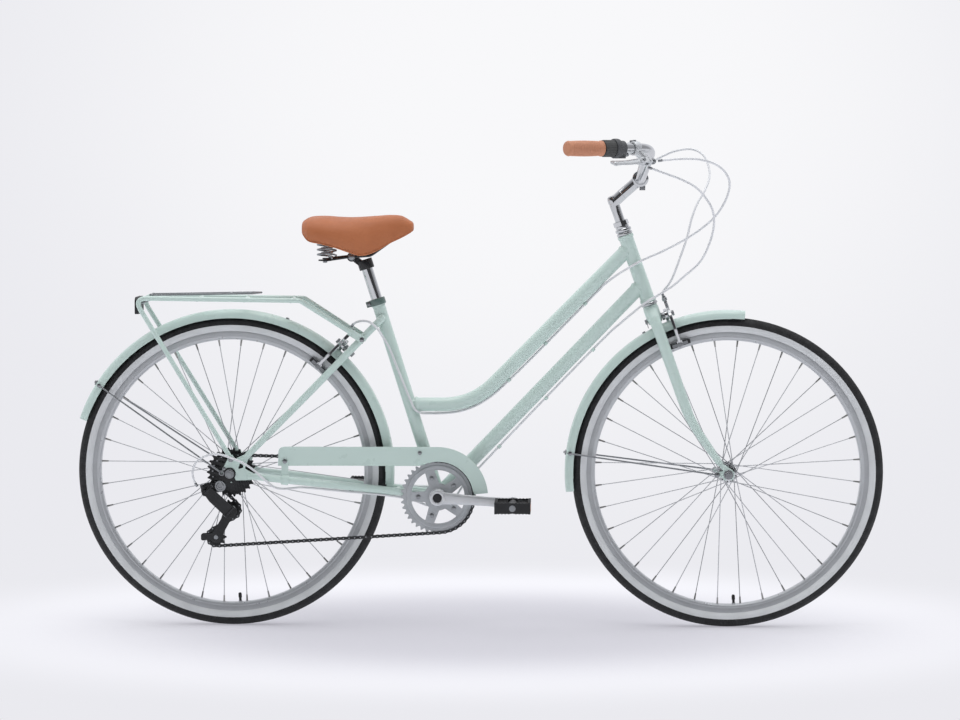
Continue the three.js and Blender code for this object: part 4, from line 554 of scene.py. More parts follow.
def bright(name, colour, roughness, smudge=0.1, shade="#8d9093", metallic=1.0):
    return coating(name, colour, shade, roughness, (22.0, 0.4, 0.75), (55.0, 0.0, smudge), (700.0, 0.01),
                   metallic=metallic)


def plastic(name, colour, shade, roughness=0.5, grain=650.0):
    return coating(name, colour, shade, roughness, (30.0, 0.4, 0.7, 0.7), (60.0, -0.08, 0.12), (grain, 0.05))


MINT = painted("pale_green_paint", "#bacdc5", "#b1c5bd")
MINT_DEEP = painted("clamp_paint", "#566a64", "#4c5f59")
CHROME = bright("chrome_plate", "#d4d6d8", 0.07, 0.07, "#bfc2c4")
ALLOY = bright("cast_alloy", "#d6d9da", 0.34, 0.14, "#b4b7ba", 0.6)
STEEL = bright("plated_steel", "#a2a5a8", 0.24, 0.16)
SPOKE = bright("stainless_wire", "#c4c6c8", 0.28, 0.1, "#aeb0b2", 0.8)
DARK_STEEL = bright("dark_steel", "#4a4b4c", 0.36, 0.16, "#3a3b3c")
RING = plastic("grey_ring_coat", "#a3a7a9", "#95999b", 0.4)
BLACK = plastic("black_plastic", "#1c1d1f", "#27282a")
BLACK_METAL = plastic("black_coated_metal", "#17181a", "#232426", 0.34)
HOUSING = plastic("cable_housing", "#d0d2d3", "#c0c3c4", 0.38)
PAD = plastic("brake_rubber", "#2d2d2e", "#3a3a3b", 0.75)
LENS = plastic("reflector_lens", "#4d1413", "#631d18", 0.2, 300.0)
AMBER = plastic("amber_reflector", "#c9701c", "#b35d12", 0.22, 260.0)
CHARCOAL = plastic("shifter_plastic", "#4b4d4f", "#414345", 0.5)


def tread_rubber():
    s = Surface("tyre_tread", "#1f2021", 0.76)
    s.drift("#2f3031", 60.0, amount=0.6)
    s.drift("#5c5a57", 900.0, 0.6, 0.75, 0.2)
    s.ribs(1.0, 0.7, 0.25, 0.4, "X")
    s.ribs(1.0 / 6.0, 0.8, 0.1, 0.25)
    return s


def wall_rubber():
    s = Surface("tyre_sidewall", "#c9cccc", 0.6)
    s.drift("#bcbfbf", 26.0, 0.38, 0.7, 0.7)
    s.drift("#8f8f8c", 420.0, 0.66, 0.76, 0.25, 5.0)
    s.ribs(0.6, 0.1)
    return s


def rim_metal():
    s = Surface("rim_alloy", "#c2c5c7", 0.34, metallic=0.5)
    s.drift("#aeb1b3", 30.0, amount=0.4)
    s.over("#b8bbbd", s.effect(LINES, "Lines", Per=1.6, Waver=0.4))
    s.gloss(60.0, 0.26, 0.4)
    s.grain(800.0, 0.01)
    return s


def brake_track():
    s = Surface("brake_track", "#a6a9ab", 0.42, metallic=0.4)
    s.drift("#96999b", 45.0, amount=0.8)
    s.over("#b0b3b5", s.effect(LINES, "Lines", Per=2.4, Waver=0.8))
    s.gloss(70.0, 0.34, 0.5)
    return s


def saddle_cover():
    s = Surface("saddle_cover", "#bf764c", 0.52, specular=0.35)
    s.drift("#a85e35", 9.0, 0.4, 0.75, 0.7)
    s.drift("#c4815a", 120.0, 0.6, 0.75, 0.3, 6.0)
    # Painted shade: the creases between the cells are darker.
    s.over("#8e522e", s.grain(900.0, 0.16, PEBBLES).outputs["Creases"])
    s.gloss(28.0, 0.42, 0.58)
    s.grain(70.0, 0.22)
    return s


def grip_rubber():
    s = Surface("grip_rubber", "#b97f60", 0.6)
    s.drift("#a97052", 18.0, 0.4, 0.75, 0.7)
    s.drift("#c89274", 300.0, 0.62, 0.75, 0.25, 5.0)
    s.grain(650.0, 0.12, PEBBLES)
    return s


TREAD, WALL, RIM, TRACK = tread_rubber(), wall_rubber(), rim_metal(), brake_track()
COVER, GRIP = saddle_cover(), grip_rubber()
TWIST = plastic("twist_rubber", "#434443", "#4d4e4d", 0.68, 500.0)
NIPPLE = bright("nickel_nipple", "#a9a9a6", 0.3)


def make(name, shape, surfaces, body, nodes=(), sharp=34, bevel=0.0, subdivide=0, wheel=None):
    """The shape becomes an object at the origin, in metres, riding on its body."""
    surfaces = surfaces if isinstance(surfaces, (list, tuple)) else [surfaces]
    work = shape.mesh
    bmesh.ops.scale(work, vec=(MM, MM, MM), verts=work.verts)
    bmesh.ops.remove_doubles(work, verts=work.verts, dist=0.01 * MM)
    bmesh.ops.dissolve_degenerate(work, edges=work.edges, dist=0.005 * MM)
    bmesh.ops.recalc_face_normals(work, faces=work.faces)
    if wheel:
        map_round(work, *wheel)
    mesh = bpy.data.meshes.new(name)
    work.to_mesh(mesh)
    work.free()
    mesh.polygons.foreach_set("use_smooth", [True] * len(mesh.polygons))
    mesh.set_sharp_from_angle(angle=math.radians(sharp))
    for surface in surfaces:
        mesh.materials.append(surface.material)
    made = bpy.data.objects.new(name, mesh)
    bpy.context.scene.collection.objects.link(made)
    if bevel:
        edge = made.modifiers.new("edge", "BEVEL")
        edge.width = bevel * MM
        edge.segments = 2
        edge.limit_method = "ANGLE"
        edge.angle_limit = math.radians(38)
        edge.harden_normals = False
    if subdivide:
        finer = made.modifiers.new("finer", "SUBSURF")
        finer.levels = finer.render_levels = subdivide
    if body:
        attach(made, body)
    if nodes:
        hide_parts(*nodes)
    return made


def map_round(work, centre, turns, side_marks):
    """A map on a wheel: turns round it, and millimetres across it, or outwards for the marks of its sides."""
    layer = work.loops.layers.uv.new("UVMap")
    centre = centre * MM
    for face in work.faces:
        sides = face.material_index in side_marks
        start = None
        for loop in face.loops:
            away = loop.vert.co - centre
            turn = math.atan2(away.z, away.x) / (2 * math.pi)
            start = turn if start is None else start
            turn -= round(turn - start)
            across = math.hypot(away.x, away.z) if sides else away.y
            loop[layer].uv = (turn * turns, across / MM)


# Wheels
RIM_OUT, TRACK_IN, RIM_IN = 316.6, 306.4, 297.4
WALL_TOP = 331.0
FLANGE_R = 21.0
SPOKES, SPOKE_LAG, SPOKE_CROSS = 18, math.radians(-4.1), math.radians(60)
WHEEL_SIDES = 144


def tyre(word, centre, body):
    profile = evened([
        (311.0, 9.4), (316.8, 11.6), (319.0, 14.6), (322.4, 17.2), (326.6, 18.6), (WALL_TOP, 18.9),
        (336.0, 18.2), (340.6, 16.2), (344.2, 13.0), (346.9, 8.8), (348.5, 4.4), (TYRE_R - 0.02, 0.0)])
    marks = [int(max(a[0], b[0]) <= WALL_TOP) for a, b in zip(profile, profile[1:])] + [1]
    make(f"{word}_tyre_casing", Shape().lathe(centre, Y, profile + profile[:1], WHEEL_SIDES, marks=marks),
         [TREAD, WALL], body, [f"{word}_tyre"], wheel=(centre, 132, (1,)))


def rim(word, centre, body):
    side = [(RIM_OUT, 11.9), (RIM_OUT - 0.8, 12.0), (TRACK_IN + 0.6, 12.0), (TRACK_IN, 11.6),
            (TRACK_IN - 0.8, 11.8), (303.0, 11.3), (299.4, 9.0), (298.0, 6.0), (RIM_IN, 3.0), (RIM_IN, -3.0)]
    profile = evened(side, 2) + [(RIM_OUT, -10.0), (309.0, -9.6), (309.0, 9.6), (RIM_OUT, 10.0), side[0]]
    marks = [int(min(a[0], b[0]) >= TRACK_IN and abs(a[1]) > 11) for a, b in zip(profile, profile[1:])]
    shape = Shape().lathe(centre, Y, profile, WHEEL_SIDES, marks=marks)
    foot = around(centre, RIM_IN, math.radians(-87))
    inward = (centre - foot).normalized()
    shape.rod(foot - inward * 2, foot + inward * 16, 3.0, 14, 2)
    shape.lathe(foot + inward * 9, inward, [(0, 0), (3.9, 0), (3.9, 8), (2.8, 11), (0, 11)], 14, 2)
    shape.lathe(foot, inward, [(0, -1), (4.6, -1), (4.6, 1.4), (0, 1.4)], 14)
    make(f"{word}_rim_hoop", shape, [RIM, TRACK, BLACK], body, [f"{word}_rim"],
         wheel=(centre, 1, (0, 1)))


def spokes(word, centre, body, side, flange, shift):
    shape = Shape()
    for i in range(SPOKES):
        angle = shift + i * 2 * math.pi / SPOKES
        lean = -1 if i % 2 else 1
        hole = around(centre, FLANGE_R - 3.2, angle, side * (flange + 2.4 * lean))
        end = around(centre, RIM_IN - 1.0, angle + SPOKE_CROSS * lean, side * 2.4)
        way = (end - hole).normalized()
        shape.tube([hole, hole + way * 40, end - way * 30, end], [1.15, 1.0, 1.0, 1.15], 7)
        shape.pin(aside(hole, side * flange), side * 3.4, 1.2, 7)
        shape.lathe(aside(hole, side * flange), Y * (-lean * side),
                    [(0, 1.6), (2.2, 1.6), (2.2, 2.6), (1.2, 3.4), (0, 3.4)], 8)
        shape.tube([end - way * 13, end - way * 3, end + way * 2], [1.7, 2.1, 2.3], 8, mark=1)
    make(f"{word}_spoke_set_{WORD[side]}", shape, [SPOKE, NIPPLE], body, [f"{word}_spokes_{WORD[side]}"])


def hub(word, centre, body, left, right, neck):
    profile = [(5.6, -neck), (10.6, -neck), (10.6, -right - 2), (FLANGE_R, -right - 1.6),
               (FLANGE_R, -right + 1.4), (13.0, -right + 2.4), (10.8, -right + 8), (10.2, 0),
               (10.8, left - 8), (13.0, left - 2.4), (FLANGE_R, left - 1.4), (FLANGE_R, left + 1.6),
               (13.0, left + 2.6), (12.4, left + 5.6), (7.0, left + 6.0), (5.6, left + 5.6), (5.6, -neck)]
    shape = Shape().lathe(centre, Y, profile, 56, soften=1.0)
    make(f"{word}_hub_shell", shape, CHROME, body, [f"{word}_hub"])


def axle(word, centre, body, inside, plate, left, right):
    end = inside + plate + 0.6
    shape = Shape().pin(centre, end + 11, 4.7)
    for side, near in ((1, left + 0.8), (-1, right + 0.8)):
        for place, radius, deep, sides in ((near, 7.6, 6.0, 26), (inside - 4.2, 8.2, 4.0, 6)):
            if inside - near > 4:
                shape.lathe(aside(centre, side * min(place, inside - deep)), Y * side,
                            sleeve(4.7, radius, deep)[:4], sides)
        shape.lathe(aside(centre, side * end), Y * side,
                    [(4.6, 0), (10.5, 0), (10.8, 0.8), (10.2, 1.6), (4.6, 1.6)], 30)
        shape.lathe(aside(centre, side * (end + 1.6)), Y * side,
                    [(4.6, 0), (8.7, 0), (8.7, 5.2), (7.4, 6.4), (4.6, 6.4)], 6)
        for ring in range(5):
            shape.lathe(aside(centre, side * (end + 8 + ring * 0.6)), Y * side,
                        [(4.5, 0), (4.95, 0.3), (4.5, 0.6)], 18)
    make(f"{word}_axle_set", shape, STEEL, body, [f"{word}_axle"], sharp=28)


for word, centre, left, right, neck in (("front", FRONT, 32.0, 32.0, 38.0), ("rear", REAR, 34.0, 19.0, 52.0)):
    body = f"{word}_wheel"
    tyre(word, centre, body)
    rim(word, centre, body)
    spokes(word, centre, body, 1, left + 0.4, SPOKE_LAG)
    spokes(word, centre, body, -1, right + 0.4, SPOKE_LAG + math.pi / SPOKES)
    hub(word, centre, body, left, right, neck)
axle("front", FRONT, "front_assembly", 50.0, 4.0, 38.0, 38.0)
axle("rear", REAR, "main_frame", 65.0, 5.0, 40.0, 52.0)


# Toothed wheels and the chain
PITCH = 12.7
CHAIN_Y = -45.0
SPROCKETS, SPROCKET_STEP, SPROCKET_FIRST = (14, 16, 18, 20, 22, 24, 26), 5.0, -60.0
DRIVEN_TEETH, RING_TEETH, JOCKEY_TEETH = 20, 40, 10
CAGE, LOWER, KNUCKLE = REAR + vec(0.5, 0, -83.0), REAR + vec(-33.3, 0, -144.7), REAR + vec(-48.2, 0, -35.7)


def pitch_radius(teeth):
    return PITCH / (2 * math.sin(math.pi / teeth))


def teeth_outline(centre, teeth, tip=3.0, root=3.6):
    flank = -root + 0.9
    tooth = ((-0.5, -root), (-0.34, flank), (-0.2, 0.4), (-0.08, tip), (0.08, tip), (0.2, 0.4), (0.34, flank))
    return flat([around(centre, pitch_radius(teeth) + reach, (i + share) * 2 * math.pi / teeth)
                 for i in range(teeth) for share, reach in tooth])


def freewheel():
    shape = Shape()
    for i, teeth in enumerate(SPROCKETS):
        inner = max(pitch_radius(teeth) - 11, 15.0) if teeth > SPROCKETS[1] else 15.0
        place = SPROCKET_FIRST + i * SPROCKET_STEP
        shape.plate(teeth_outline(REAR, teeth), place, 1.9, [flat_circle((REAR.x, REAR.z), inner, 40)])
        if i:
            shape.lathe(aside(REAR, place - SPROCKET_STEP), Y, sleeve(17.5, 20.5 + 2 * i, SPROCKET_STEP)[:4])
    shape.lathe(aside(REAR, -62.6), Y, [(11.6, 0), (16.8, 0), (17.6, 1.0), (17.6, 30), (11.6, 31)], 44)
    for k in range(4):
        shape.block(around(REAR, 14.2, k * math.pi / 2 + 0.4, -62.6), (X, Y, Z), (1.2, 0.5, 1.2))
    make("freewheel_sprockets", shape, DARK_STEEL, "freewheel_body", ["freewheel"], bevel=0.25)


def chain_line():
    wheels = [(centre, pitch_radius(teeth), sense) for centre, teeth, sense in (
        (REAR, DRIVEN_TEETH, 1), (CRANK, RING_TEETH, 1), (LOWER, JOCKEY_TEETH, 1), (CAGE, JOCKEY_TEETH, -1))]
    headings = []
    for (here, radius, sense), (there, other, turn) in zip(wheels, wheels[1:] + wheels[:1]):
        way = there - here
        headings.append(math.atan2(way.z, way.x) + math.asin((turn * other - sense * radius) / way.length))
    line = []
    for i, (here, radius, sense) in enumerate(wheels):
        turn = ((headings[i - 1] - headings[i]) * sense) % (2 * math.pi)
        steps = max(int(turn * radius / 2.0), 4)
        line += [around(here, sense * radius, headings[i - 1] - sense * turn * k / steps + math.pi / 2)
                 for k in range(steps + 1)]
    return line + line[:1]


def chain():
    line = chain_line()
    runs = [0.0]
    for a, b in zip(line, line[1:]):
        runs.append(runs[-1] + (b - a).length)
    count = 2 * round(runs[-1] / PITCH / 2)
    pins = []
    spot = 0
    for i in range(count):
        goal = runs[-1] * i / count
        while runs[spot + 1] < goal:
            spot += 1
        share = (goal - runs[spot]) / max(runs[spot + 1] - runs[spot], 1e-6)
        pins.append(line[spot].lerp(line[spot + 1], share))
    shape = Shape()
    end_turn = math.pi / 2 - 0.35
    for i, pin in enumerate(pins):
        way = pins[(i + 1) % count] - pin
        length = way.length
        way.normalize()
        outline = flat_arc((length, 0), 4.1, -end_turn, end_turn, 6) + [(length / 2, 2.9)] + \
            flat_arc((0, 0), 4.1, math.pi - end_turn, math.pi + end_turn, 6) + [(length / 2, -2.9)]
        for sign in SIDES:
            shape.plate(outline, CHAIN_Y + sign * (3.0 if i % 2 else 1.8), 1.0,
                        basis=(pin, way, square(way), Y))
        shape.pin(aside(pin, CHAIN_Y), 1.4, 3.5, 12)
        shape.pin(aside(pin, CHAIN_Y), 3.9, 1.6, 8, 1)
    make("chain_links", shape, [DARK_STEEL, STEEL], "main_frame", ["chain"])


def chainring(arms=5, outer=60, inner=31):
    centre = (CRANK.x, CRANK.z)
    holes = [flat_circle(centre, 17.4, 40)]
    for i in range(arms):
        middle = math.pi + (2 * i + 1) * math.pi / arms
        wide, slim = math.pi / arms - 10.5 / outer, math.pi / arms - 12.5 / inner
        holes.append(round_outline(flat_arc(centre, outer, middle - wide, middle + wide, 14)
                                   + flat_arc(centre, inner, middle + slim, middle - slim, 6), 4.0))
    shape = Shape().plate(teeth_outline(CRANK, RING_TEETH), CHAIN_Y, 2.0, holes)
    shape.lathe(aside(CRANK, CHAIN_Y - 2.6), Y, [(62.5, 1.4), (66, 0), (70, 0), (72, 1.4), (62.5, 1.4)], 80)
    make("chainring_disc", shape, RING, "crankset", ["chainring"], bevel=0.3)


freewheel()
chain()
chainring()


# Frame
def dropout(shape, side):
    def on_stay(way, run, across):
        return REAR + way * run + square(way) * across

    slot_way = vec(math.cos(math.radians(60)), 0, -math.sin(math.radians(60)))
    notch = [on_stay(slot_way, run, off) for run, off in
             ((20, -5.2), (0, -5.2), (-3.7, -3.7), (-5.2, 0), (-3.7, 3.7), (0, 5.2), (20, 5.2))]
    hanger = [HANGER + vec(x, 0, z) for x, z in ((-9, 0), (-6, -8), (4, -9), (9, -4))] if side < 0 else []
    outline = [on_stay(CHAINSTAY, 52, -7.6), on_stay(CHAINSTAY, 52, 7.6), on_stay(CHAINSTAY, 34, 15),
               on_stay(SEATSTAY, 34, -15), on_stay(SEATSTAY, 52, -7.6), on_stay(SEATSTAY, 52, 7.6)] + \
        [RACK_EYELET + vec(x, 0, z) for x, z in ((8.5, 0), (3, 6), (-6, 4), (-8.5, 0))] + \
        [REAR + vec(x, 0, z) for x, z in ((-15, 12), (-18, 4), (-17, -8.5))] + hanger + \
        [REAR + vec(-8.5, 0, -17)]
    window = [REAR + vec(24 + x, 0, 16 + z) for x, z in ((-5, -5), (7, -2), (6, 5), (-1, 8))]
    holes = [round_outline(flat(window), 2.5)] if side < 0 else []
    shape.plate(flat(outline + notch), side * DROPOUT_Y, 5.0, holes)


def weld_ring(shape, place, way, radius):
    shape.lathe(place, way, [(radius - 1, -3), (radius + 1.5, -2), (radius + 1.9, 0), (radius + 1.2, 3),
                             (radius - 0.2, 6)], 36)


def tapered(shape, way, stops, side, slim, gain, reach):
    path = smooth([aside(REAR + way * run, side * y) for run, y in stops], 5)
    shape.tube(path, [slim + gain * min(1.0, i / (len(path) * reach)) for i in range(len(path))], 26)


def clips(shape, start, end, shares):
    """Clips for a cable along a line."""
    way = (end - start).normalized()
    for share in shares:
        shape.collar(start.lerp(end, share) - way * 4, way, 2.75, 4.1, 8, 0, 0.4, 20)


def caliper_bolt(shape, centre, out, near, back):
    shape.bolt(centre + out * (near + 16.8), out, 5.6, 5.2)
    shape.rod(centre + out * (back - 3), centre + out * (near + 17), 3.0, 16, 1)
    shape.bolt(centre + out * back, -out, 5.2, 5)
    shape.collar(centre + out * (near - 7), out, 3.0, 8.6, 6.2, 1, 0.6, 30)


def main_frame():
    shape = Shape()
    shape.lathe(on_head(9), HEAD_UP, [(13.4, 0), (18.2, 0), (18.2, 6), (16.2, 8), (16.0, 79), (16.2, 150),
                                      (18.2, 152), (18.2, 158), (13.4, 158), (13.4, 0)], 56, soften=0.8)
    start, low = on_head(138), 204
    drop = start.z - (CRANK.z + low)
    knee = vec(start.x - drop / math.tan(math.radians(45.2)), 0, start.z - drop)
    seat_meet = on_seat(low / SEAT_UP.z)
    shape.tube(bent([start, knee, seat_meet], 180, 18), TUBE_R, 36)
    down = on_head(51.5)
    shape.tube([down, CRANK], TUBE_R, 36)
    for place, way, reach in ((start, knee - start, 14.5), (seat_meet, X, 14), (down, CRANK - down, 15.5),
                              (CRANK, down - CRANK, 19.0)):
        weld_ring(shape, place + way.normalized() * reach, way, TUBE_R)
    shape.tube([CRANK, on_seat(462)], SEAT_TUBE_R, 36)
    shape.collar(on_seat(446), SEAT_UP, 13.0, 15.4, 18)
    weld_ring(shape, on_seat(20), SEAT_UP, SEAT_TUBE_R)
    shape.collar(aside(CRANK, -34), Y, 16.4, 20, 68, soften=1.2, sides=52)
    for side in SIDES:
        tapered(shape, CHAINSTAY, [(40, DROPOUT_Y), (110, 61.6), (345, 34.5), (382, 33), (448, 26)], side,
                6.6, 2.2, 0.35)
        tapered(shape, SEATSTAY, [(40, DROPOUT_Y), (200, 54.2), (378, 38.2), ((STAY_MEET - REAR).length, 20)],
                side, 6.4, 1.6, 0.4)
        dropout(shape, side)
        shape.lathe(aside(STAY_MEET, side * 20), SEATSTAY,
                    [(8.2, -6), (8.4, 0), (7.0, 4), (3.4, 6.6), (0, 7.4)], 26)
    shape.pin(BRIDGE, 38, 6.6, 28)
    shape.pin(REAR + CHAINSTAY * 375, 34, 5.8, 24)
    caliper_bolt(shape, BRIDGE, REAR_OUT, REAR_LAYER, -7.6)
    clips(shape, vec(296, -12, 668), vec(4, -12, 364.5), (0.14, 0.5, 0.86))
    clips(shape, vec(262, 0, 753), vec(56, 0, 545.4), (0.12, 0.55, 0.95))
    shape.bolts(RACK_EYELET, Y, 82.5, 5.0, 4.2)
    shape.bolt(aside(REAR + vec(-12, 0, 12), -70.4), -Y, 3.4, 3.0)
    make("frame_tubes", shape, [MINT, STEEL], "main_frame", ["frame"], bevel=0.7)


main_frame()


# Seat clamp, post, bottom bracket, headset
def seat_clamp():
    shape = Shape().collar(on_seat(449), SEAT_UP, 14.8, 18.4, 15, soften=1.4, sides=52)
    ear = on_seat(456.5, -19.5)
    for side in SIDES:
        shape.block(ear + Y * (side * 4.6), (SEAT_UP, Y, SEAT_FORE), (6.6, 2.6, 6.2))
    shape.bolts(ear, Y, 7.2, 3.8, 4.4)
    shape.pin(ear, 8, 2.6, 14, 1)
    make("seat_clamp_collar", shape, [MINT_DEEP, STEEL], "main_frame", ["seat_clamp"], bevel=0.9)


def turned_piece(name, node, body, start, way, profile, soften=0.7, sides=56, surface=CHROME):
    make(name, Shape().lathe(start, way, profile, sides, soften=soften), surface, body, [node])


def bottom_bracket():
    shape = Shape().lathe(CRANK, Y, [(9.2, -34), (16.2, -34), (16.2, 34.4), (19.2, 34.4), (19.2, 36.8),
                                     (9.2, 36.8), (9.2, -34)], 48, soften=0.6)
    for k in range(16):
        shape.block(around(CRANK, 17.8, k * math.pi / 8, 36.6), (X, Y, Z), (1.1, 0.6, 1.1))
    make("bottom_bracket_unit", shape, STEEL, "main_frame", ["bottom_bracket_cartridge"])


def headset_nuts():
    shape = Shape()
    shape.lathe(on_head(175.6), HEAD_UP,
                [(13.2, 0), (16.6, 0), (18.3, 2.2), (18.3, 6.0), (16.4, 8.2), (13.2, 8.2)], 56, soften=0.6)
    shape.lathe(on_head(184.4), HEAD_UP, sleeve(13.2, 15.4, 5.4)[:4], 44, soften=0.4)
    shape.lathe(on_head(190.2), HEAD_UP, [(13.2, 0), (17.2, 0), (17.2, 9.4), (15.4, 11.0), (13.2, 11.0)], 8)
    make("headset_nuts", shape, CHROME, "front_assembly", ["headset_locknut"], sharp=30)


seat_clamp()
turned_piece("seatpost_tube", "seatpost", "seatpost_body", on_seat(289), SEAT_UP,
             [(0, 0), (12.7, 0), (12.7, 262), (11.6, 267), (0, 267)], 0.8)
bottom_bracket()
turned_piece("lower_cup_ring", "headset_lower_cup", "main_frame", on_head(1.2), HEAD_UP,
             [(13.5, 0), (17.4, 0), (19.0, 1.4), (19.0, 4.6), (17.0, 7.4), (13.5, 7.4), (13.5, 0)])
turned_piece("upper_cup_ring", "headset_upper_cup", "main_frame", on_head(167.4), HEAD_UP,
             [(13.5, 0), (16.6, 0), (18.0, 1.6), (18.0, 5.4), (16.0, 7.6), (13.5, 7.6), (13.5, 0)])
headset_nuts()


# Fork
def blade_line(side):
    points = [on_head(a, 0, side * s) for a, s in ((-12, 12), (-26, 29), (-44, 38), (-70, 40), (-150, 43))]
    rake = curve(on_head(-242, 0, side * 46), on_head(-294, 0, side * 46), aside(FRONT, side * 52), 8, 0.86)
    return smooth(points + rake, 5)


def fork_end(shape, side, top):
    slot = [(-5.1, -13), (-5.1, 0), (-3.6, 3.6), (0, 5.1), (3.6, 3.6), (5.1, 0), (5.1, -13)]
    ahead, behind = [(12.6, -5), (13.4, 0), (12.6, 5), (9, 10)], \
        [(-12, 8), (-22, 5.4), (-28, 4.6), (-30.4, 0), (-28, -4.6), (-22, -4.8), (-12.6, -7), (-10, -12)]
    near = [[(FRONT.x + x, FRONT.z + z) for x, z in part] for part in (ahead, behind + slot + [(9, -12)])]
    into_blade = [(top.x + 6, top.z), (top.x, top.z + 6), (top.x - 6, top.z)]
    shape.plate(near[0] + into_blade + near[1], side * 52.3, 4.0)


def fork():
    shape = Shape()
    for side in SIDES:
        line = blade_line(side)
        last = len(line) - 1
        radii = [12.6 - 5.3 * max(0.0, (i / last - 0.28) / 0.72) for i in range(len(line))]
        shape.tube(line, radii, 30, flat=0.86, across=Y)
        shape.lathe(line[-1], line[-1] - line[-2], [(7.2, 0), (6.4, 4), (3.0, 7), (0, 7.6)], 24)
        fork_end(shape, side, line[-1])
    shape.lathe(on_head(0), HEAD_UP, [(0, -46), (10, -45), (15.6, -40), (17.4, -30), (17.4, -8), (16.4, -2),
                                      (16.4, 0.4), (12.7, 0.4)], 48)
    shape.rod(on_head(-1), on_head(199), 12.7, 36, 1)
    caliper_bolt(shape, FRONT_BRAKE_AT, HEAD_FORE, FRONT_LAYER, -17.6)
    shape.bolts(FRONT - X * 25.5, Y, 58.8, 4.2, 3.6)
    make("fork_blades", shape, [MINT, STEEL], "front_assembly", ["fork"], bevel=0.6)


fork()


# Stem and handlebar
BAR_CLAMP, BAR_KNEE, BAR_TIP = vec(359.7, 0, 1008), vec(382, 170, 1075.6), vec(197, 299.5, 1075.6)


def grip_way(side):
    return (aside(BAR_KNEE, side * BAR_KNEE.y) - aside(BAR_TIP, side * BAR_TIP.y)).normalized()


def on_bar(side, run):
    return aside(BAR_TIP, side * BAR_TIP.y) + grip_way(side) * run


def stem():
    shape = Shape()
    elbow = on_head(246)
    reach = (BAR_CLAMP - elbow).normalized()
    shape.lathe(on_head(105), HEAD_UP, [(0, 0), (11.1, 0), (11.1, 141)], 44)
    neck = bent([on_head(226), on_head(245), elbow + reach * 26, BAR_CLAMP], 22, 10)
    shape.tube(neck, between([11.3, 12.6, 13.2, 12.6], len(neck)), 36)
    shape.lathe(elbow + HEAD_UP * 4, HEAD_UP, [(0, 10.4), (6.6, 10.4), (8.2, 9.6), (10.4, 8.4), (11.6, 5.0),
                                              (12.2, 0), (12.2, -6)], 40)
    shape.lathe(elbow + HEAD_UP * 14.2, HEAD_UP,
                [(0, -3.6), (3.2, -3.6), (3.2, 0.4), (5.6, 0.4), (5.6, -2)], 6, 1)
    shape.collar(BAR_CLAMP - Y * 20, Y, 12.9, 18.2, 40, soften=2.4, sides=56)
    pinch = BAR_CLAMP + vec(4.5, 0, -17.5)
    shape.block(pinch - Z * 2, (X, Y, Z), (6.4, 9.0, 6.0))
    shape.bolts(pinch - Z * 2.4, Y, 9.4, 4.6, 4.6)
    make("stem_quill", shape, [CHROME, STEEL], "front_assembly", ["stem"], bevel=0.8)


def handlebar():
    left = bent([BAR_CLAMP, BAR_CLAMP + Y * 40, BAR_KNEE, BAR_TIP], 50, 14)[1:]
    shape = Shape().tube(left[::-1] + [aside(p, -p.y) for p in left], BAR_R, 32)
    shape.lathe(BAR_CLAMP - Y * 30, Y,
                [(11.0, 0), (11.3, 2), (12.7, 7), (12.7, 53), (11.3, 58), (11.0, 60)], 40)
    make("handlebar_tube", shape, CHROME, "front_assembly", ["handlebar"])


stem()
handlebar()


# Grips, shifter, levers
def grip(side, length):
    profile = [(0, -2.0), (12.4, -2.0), (14.6, -1.2), (15.9, 0.8), (16.8, 3.4), (15.9, 5.4), (15.7, 8)]
    rib = 4.2
    ribs = int((length - 16) / rib)
    for i in range(ribs):
        swell = 0.9 * math.sin(math.pi * (i + 0.5) / ribs)
        profile += [(radius + swell, 8 + i * rib + run)
                    for radius, run in ((15.4, 0.3), (16.2, 1.1), (16.2, 3.1), (15.4, 3.9))]
    profile += [(16.2, length - 5), (17.3, length - 3), (17.3, length - 0.6), (16.4, length), (11.6, length)]
    shape = Shape().lathe(on_bar(side, 0), grip_way(side), profile, 52)
    make(f"grip_{WORD[side]}_sleeve", shape, GRIP, "front_assembly", [f"grip_{WORD[side]}"], sharp=50)


def shifter():
    way = grip_way(-1)
    up = (Z - way * Z.dot(way)).normalized()
    out = way.cross(up)
    corners = 96
    rings = []
    for run, reach in ((92.2, 16.6), (93.4, 17.6), (95.0, 17.8), (118.0, 17.8), (119.2, 18.0), (119.8, 16.8)):
        high, low = (oval(on_bar(-1, run), up, out, reach + rib, reach + rib, corners) for rib in (0.7, 0.0))
        rings.append([(high if k % 4 in (0, 1) else low)[k] for k in range(corners)])
    make("shifter_sleeve_ribs", Shape().rings(rings), TWIST, "shifter_sleeve", ["shifter_twist_grip"], sharp=40)
    shape = Shape().lathe(on_bar(-1, 120.6), way, [
        (11.5, 0), (20.2, 0), (21.3, 2), (21.4, 8), (21.0, 12.6), (18.6, 15.0), (17.0, 18), (16.8, 27.2),
        (15.4, 28), (11.5, 28), (11.5, 0)], 56, soften=0.8)
    outlet = on_bar(-1, 134) - Z * 14
    shape.block(outlet + way * 3, (way, up.cross(way), up), (13, 7.0, 7.6))
    shape.lathe(outlet + way * 15, way, [(0, 0), (4.4, 0), (4.2, 8), (3.2, 12), (0, 12)], 20, 1)
    make("shifter_body", shape, [CHARCOAL, STEEL], "front_assembly", ["shifter_housing"], bevel=1.2)


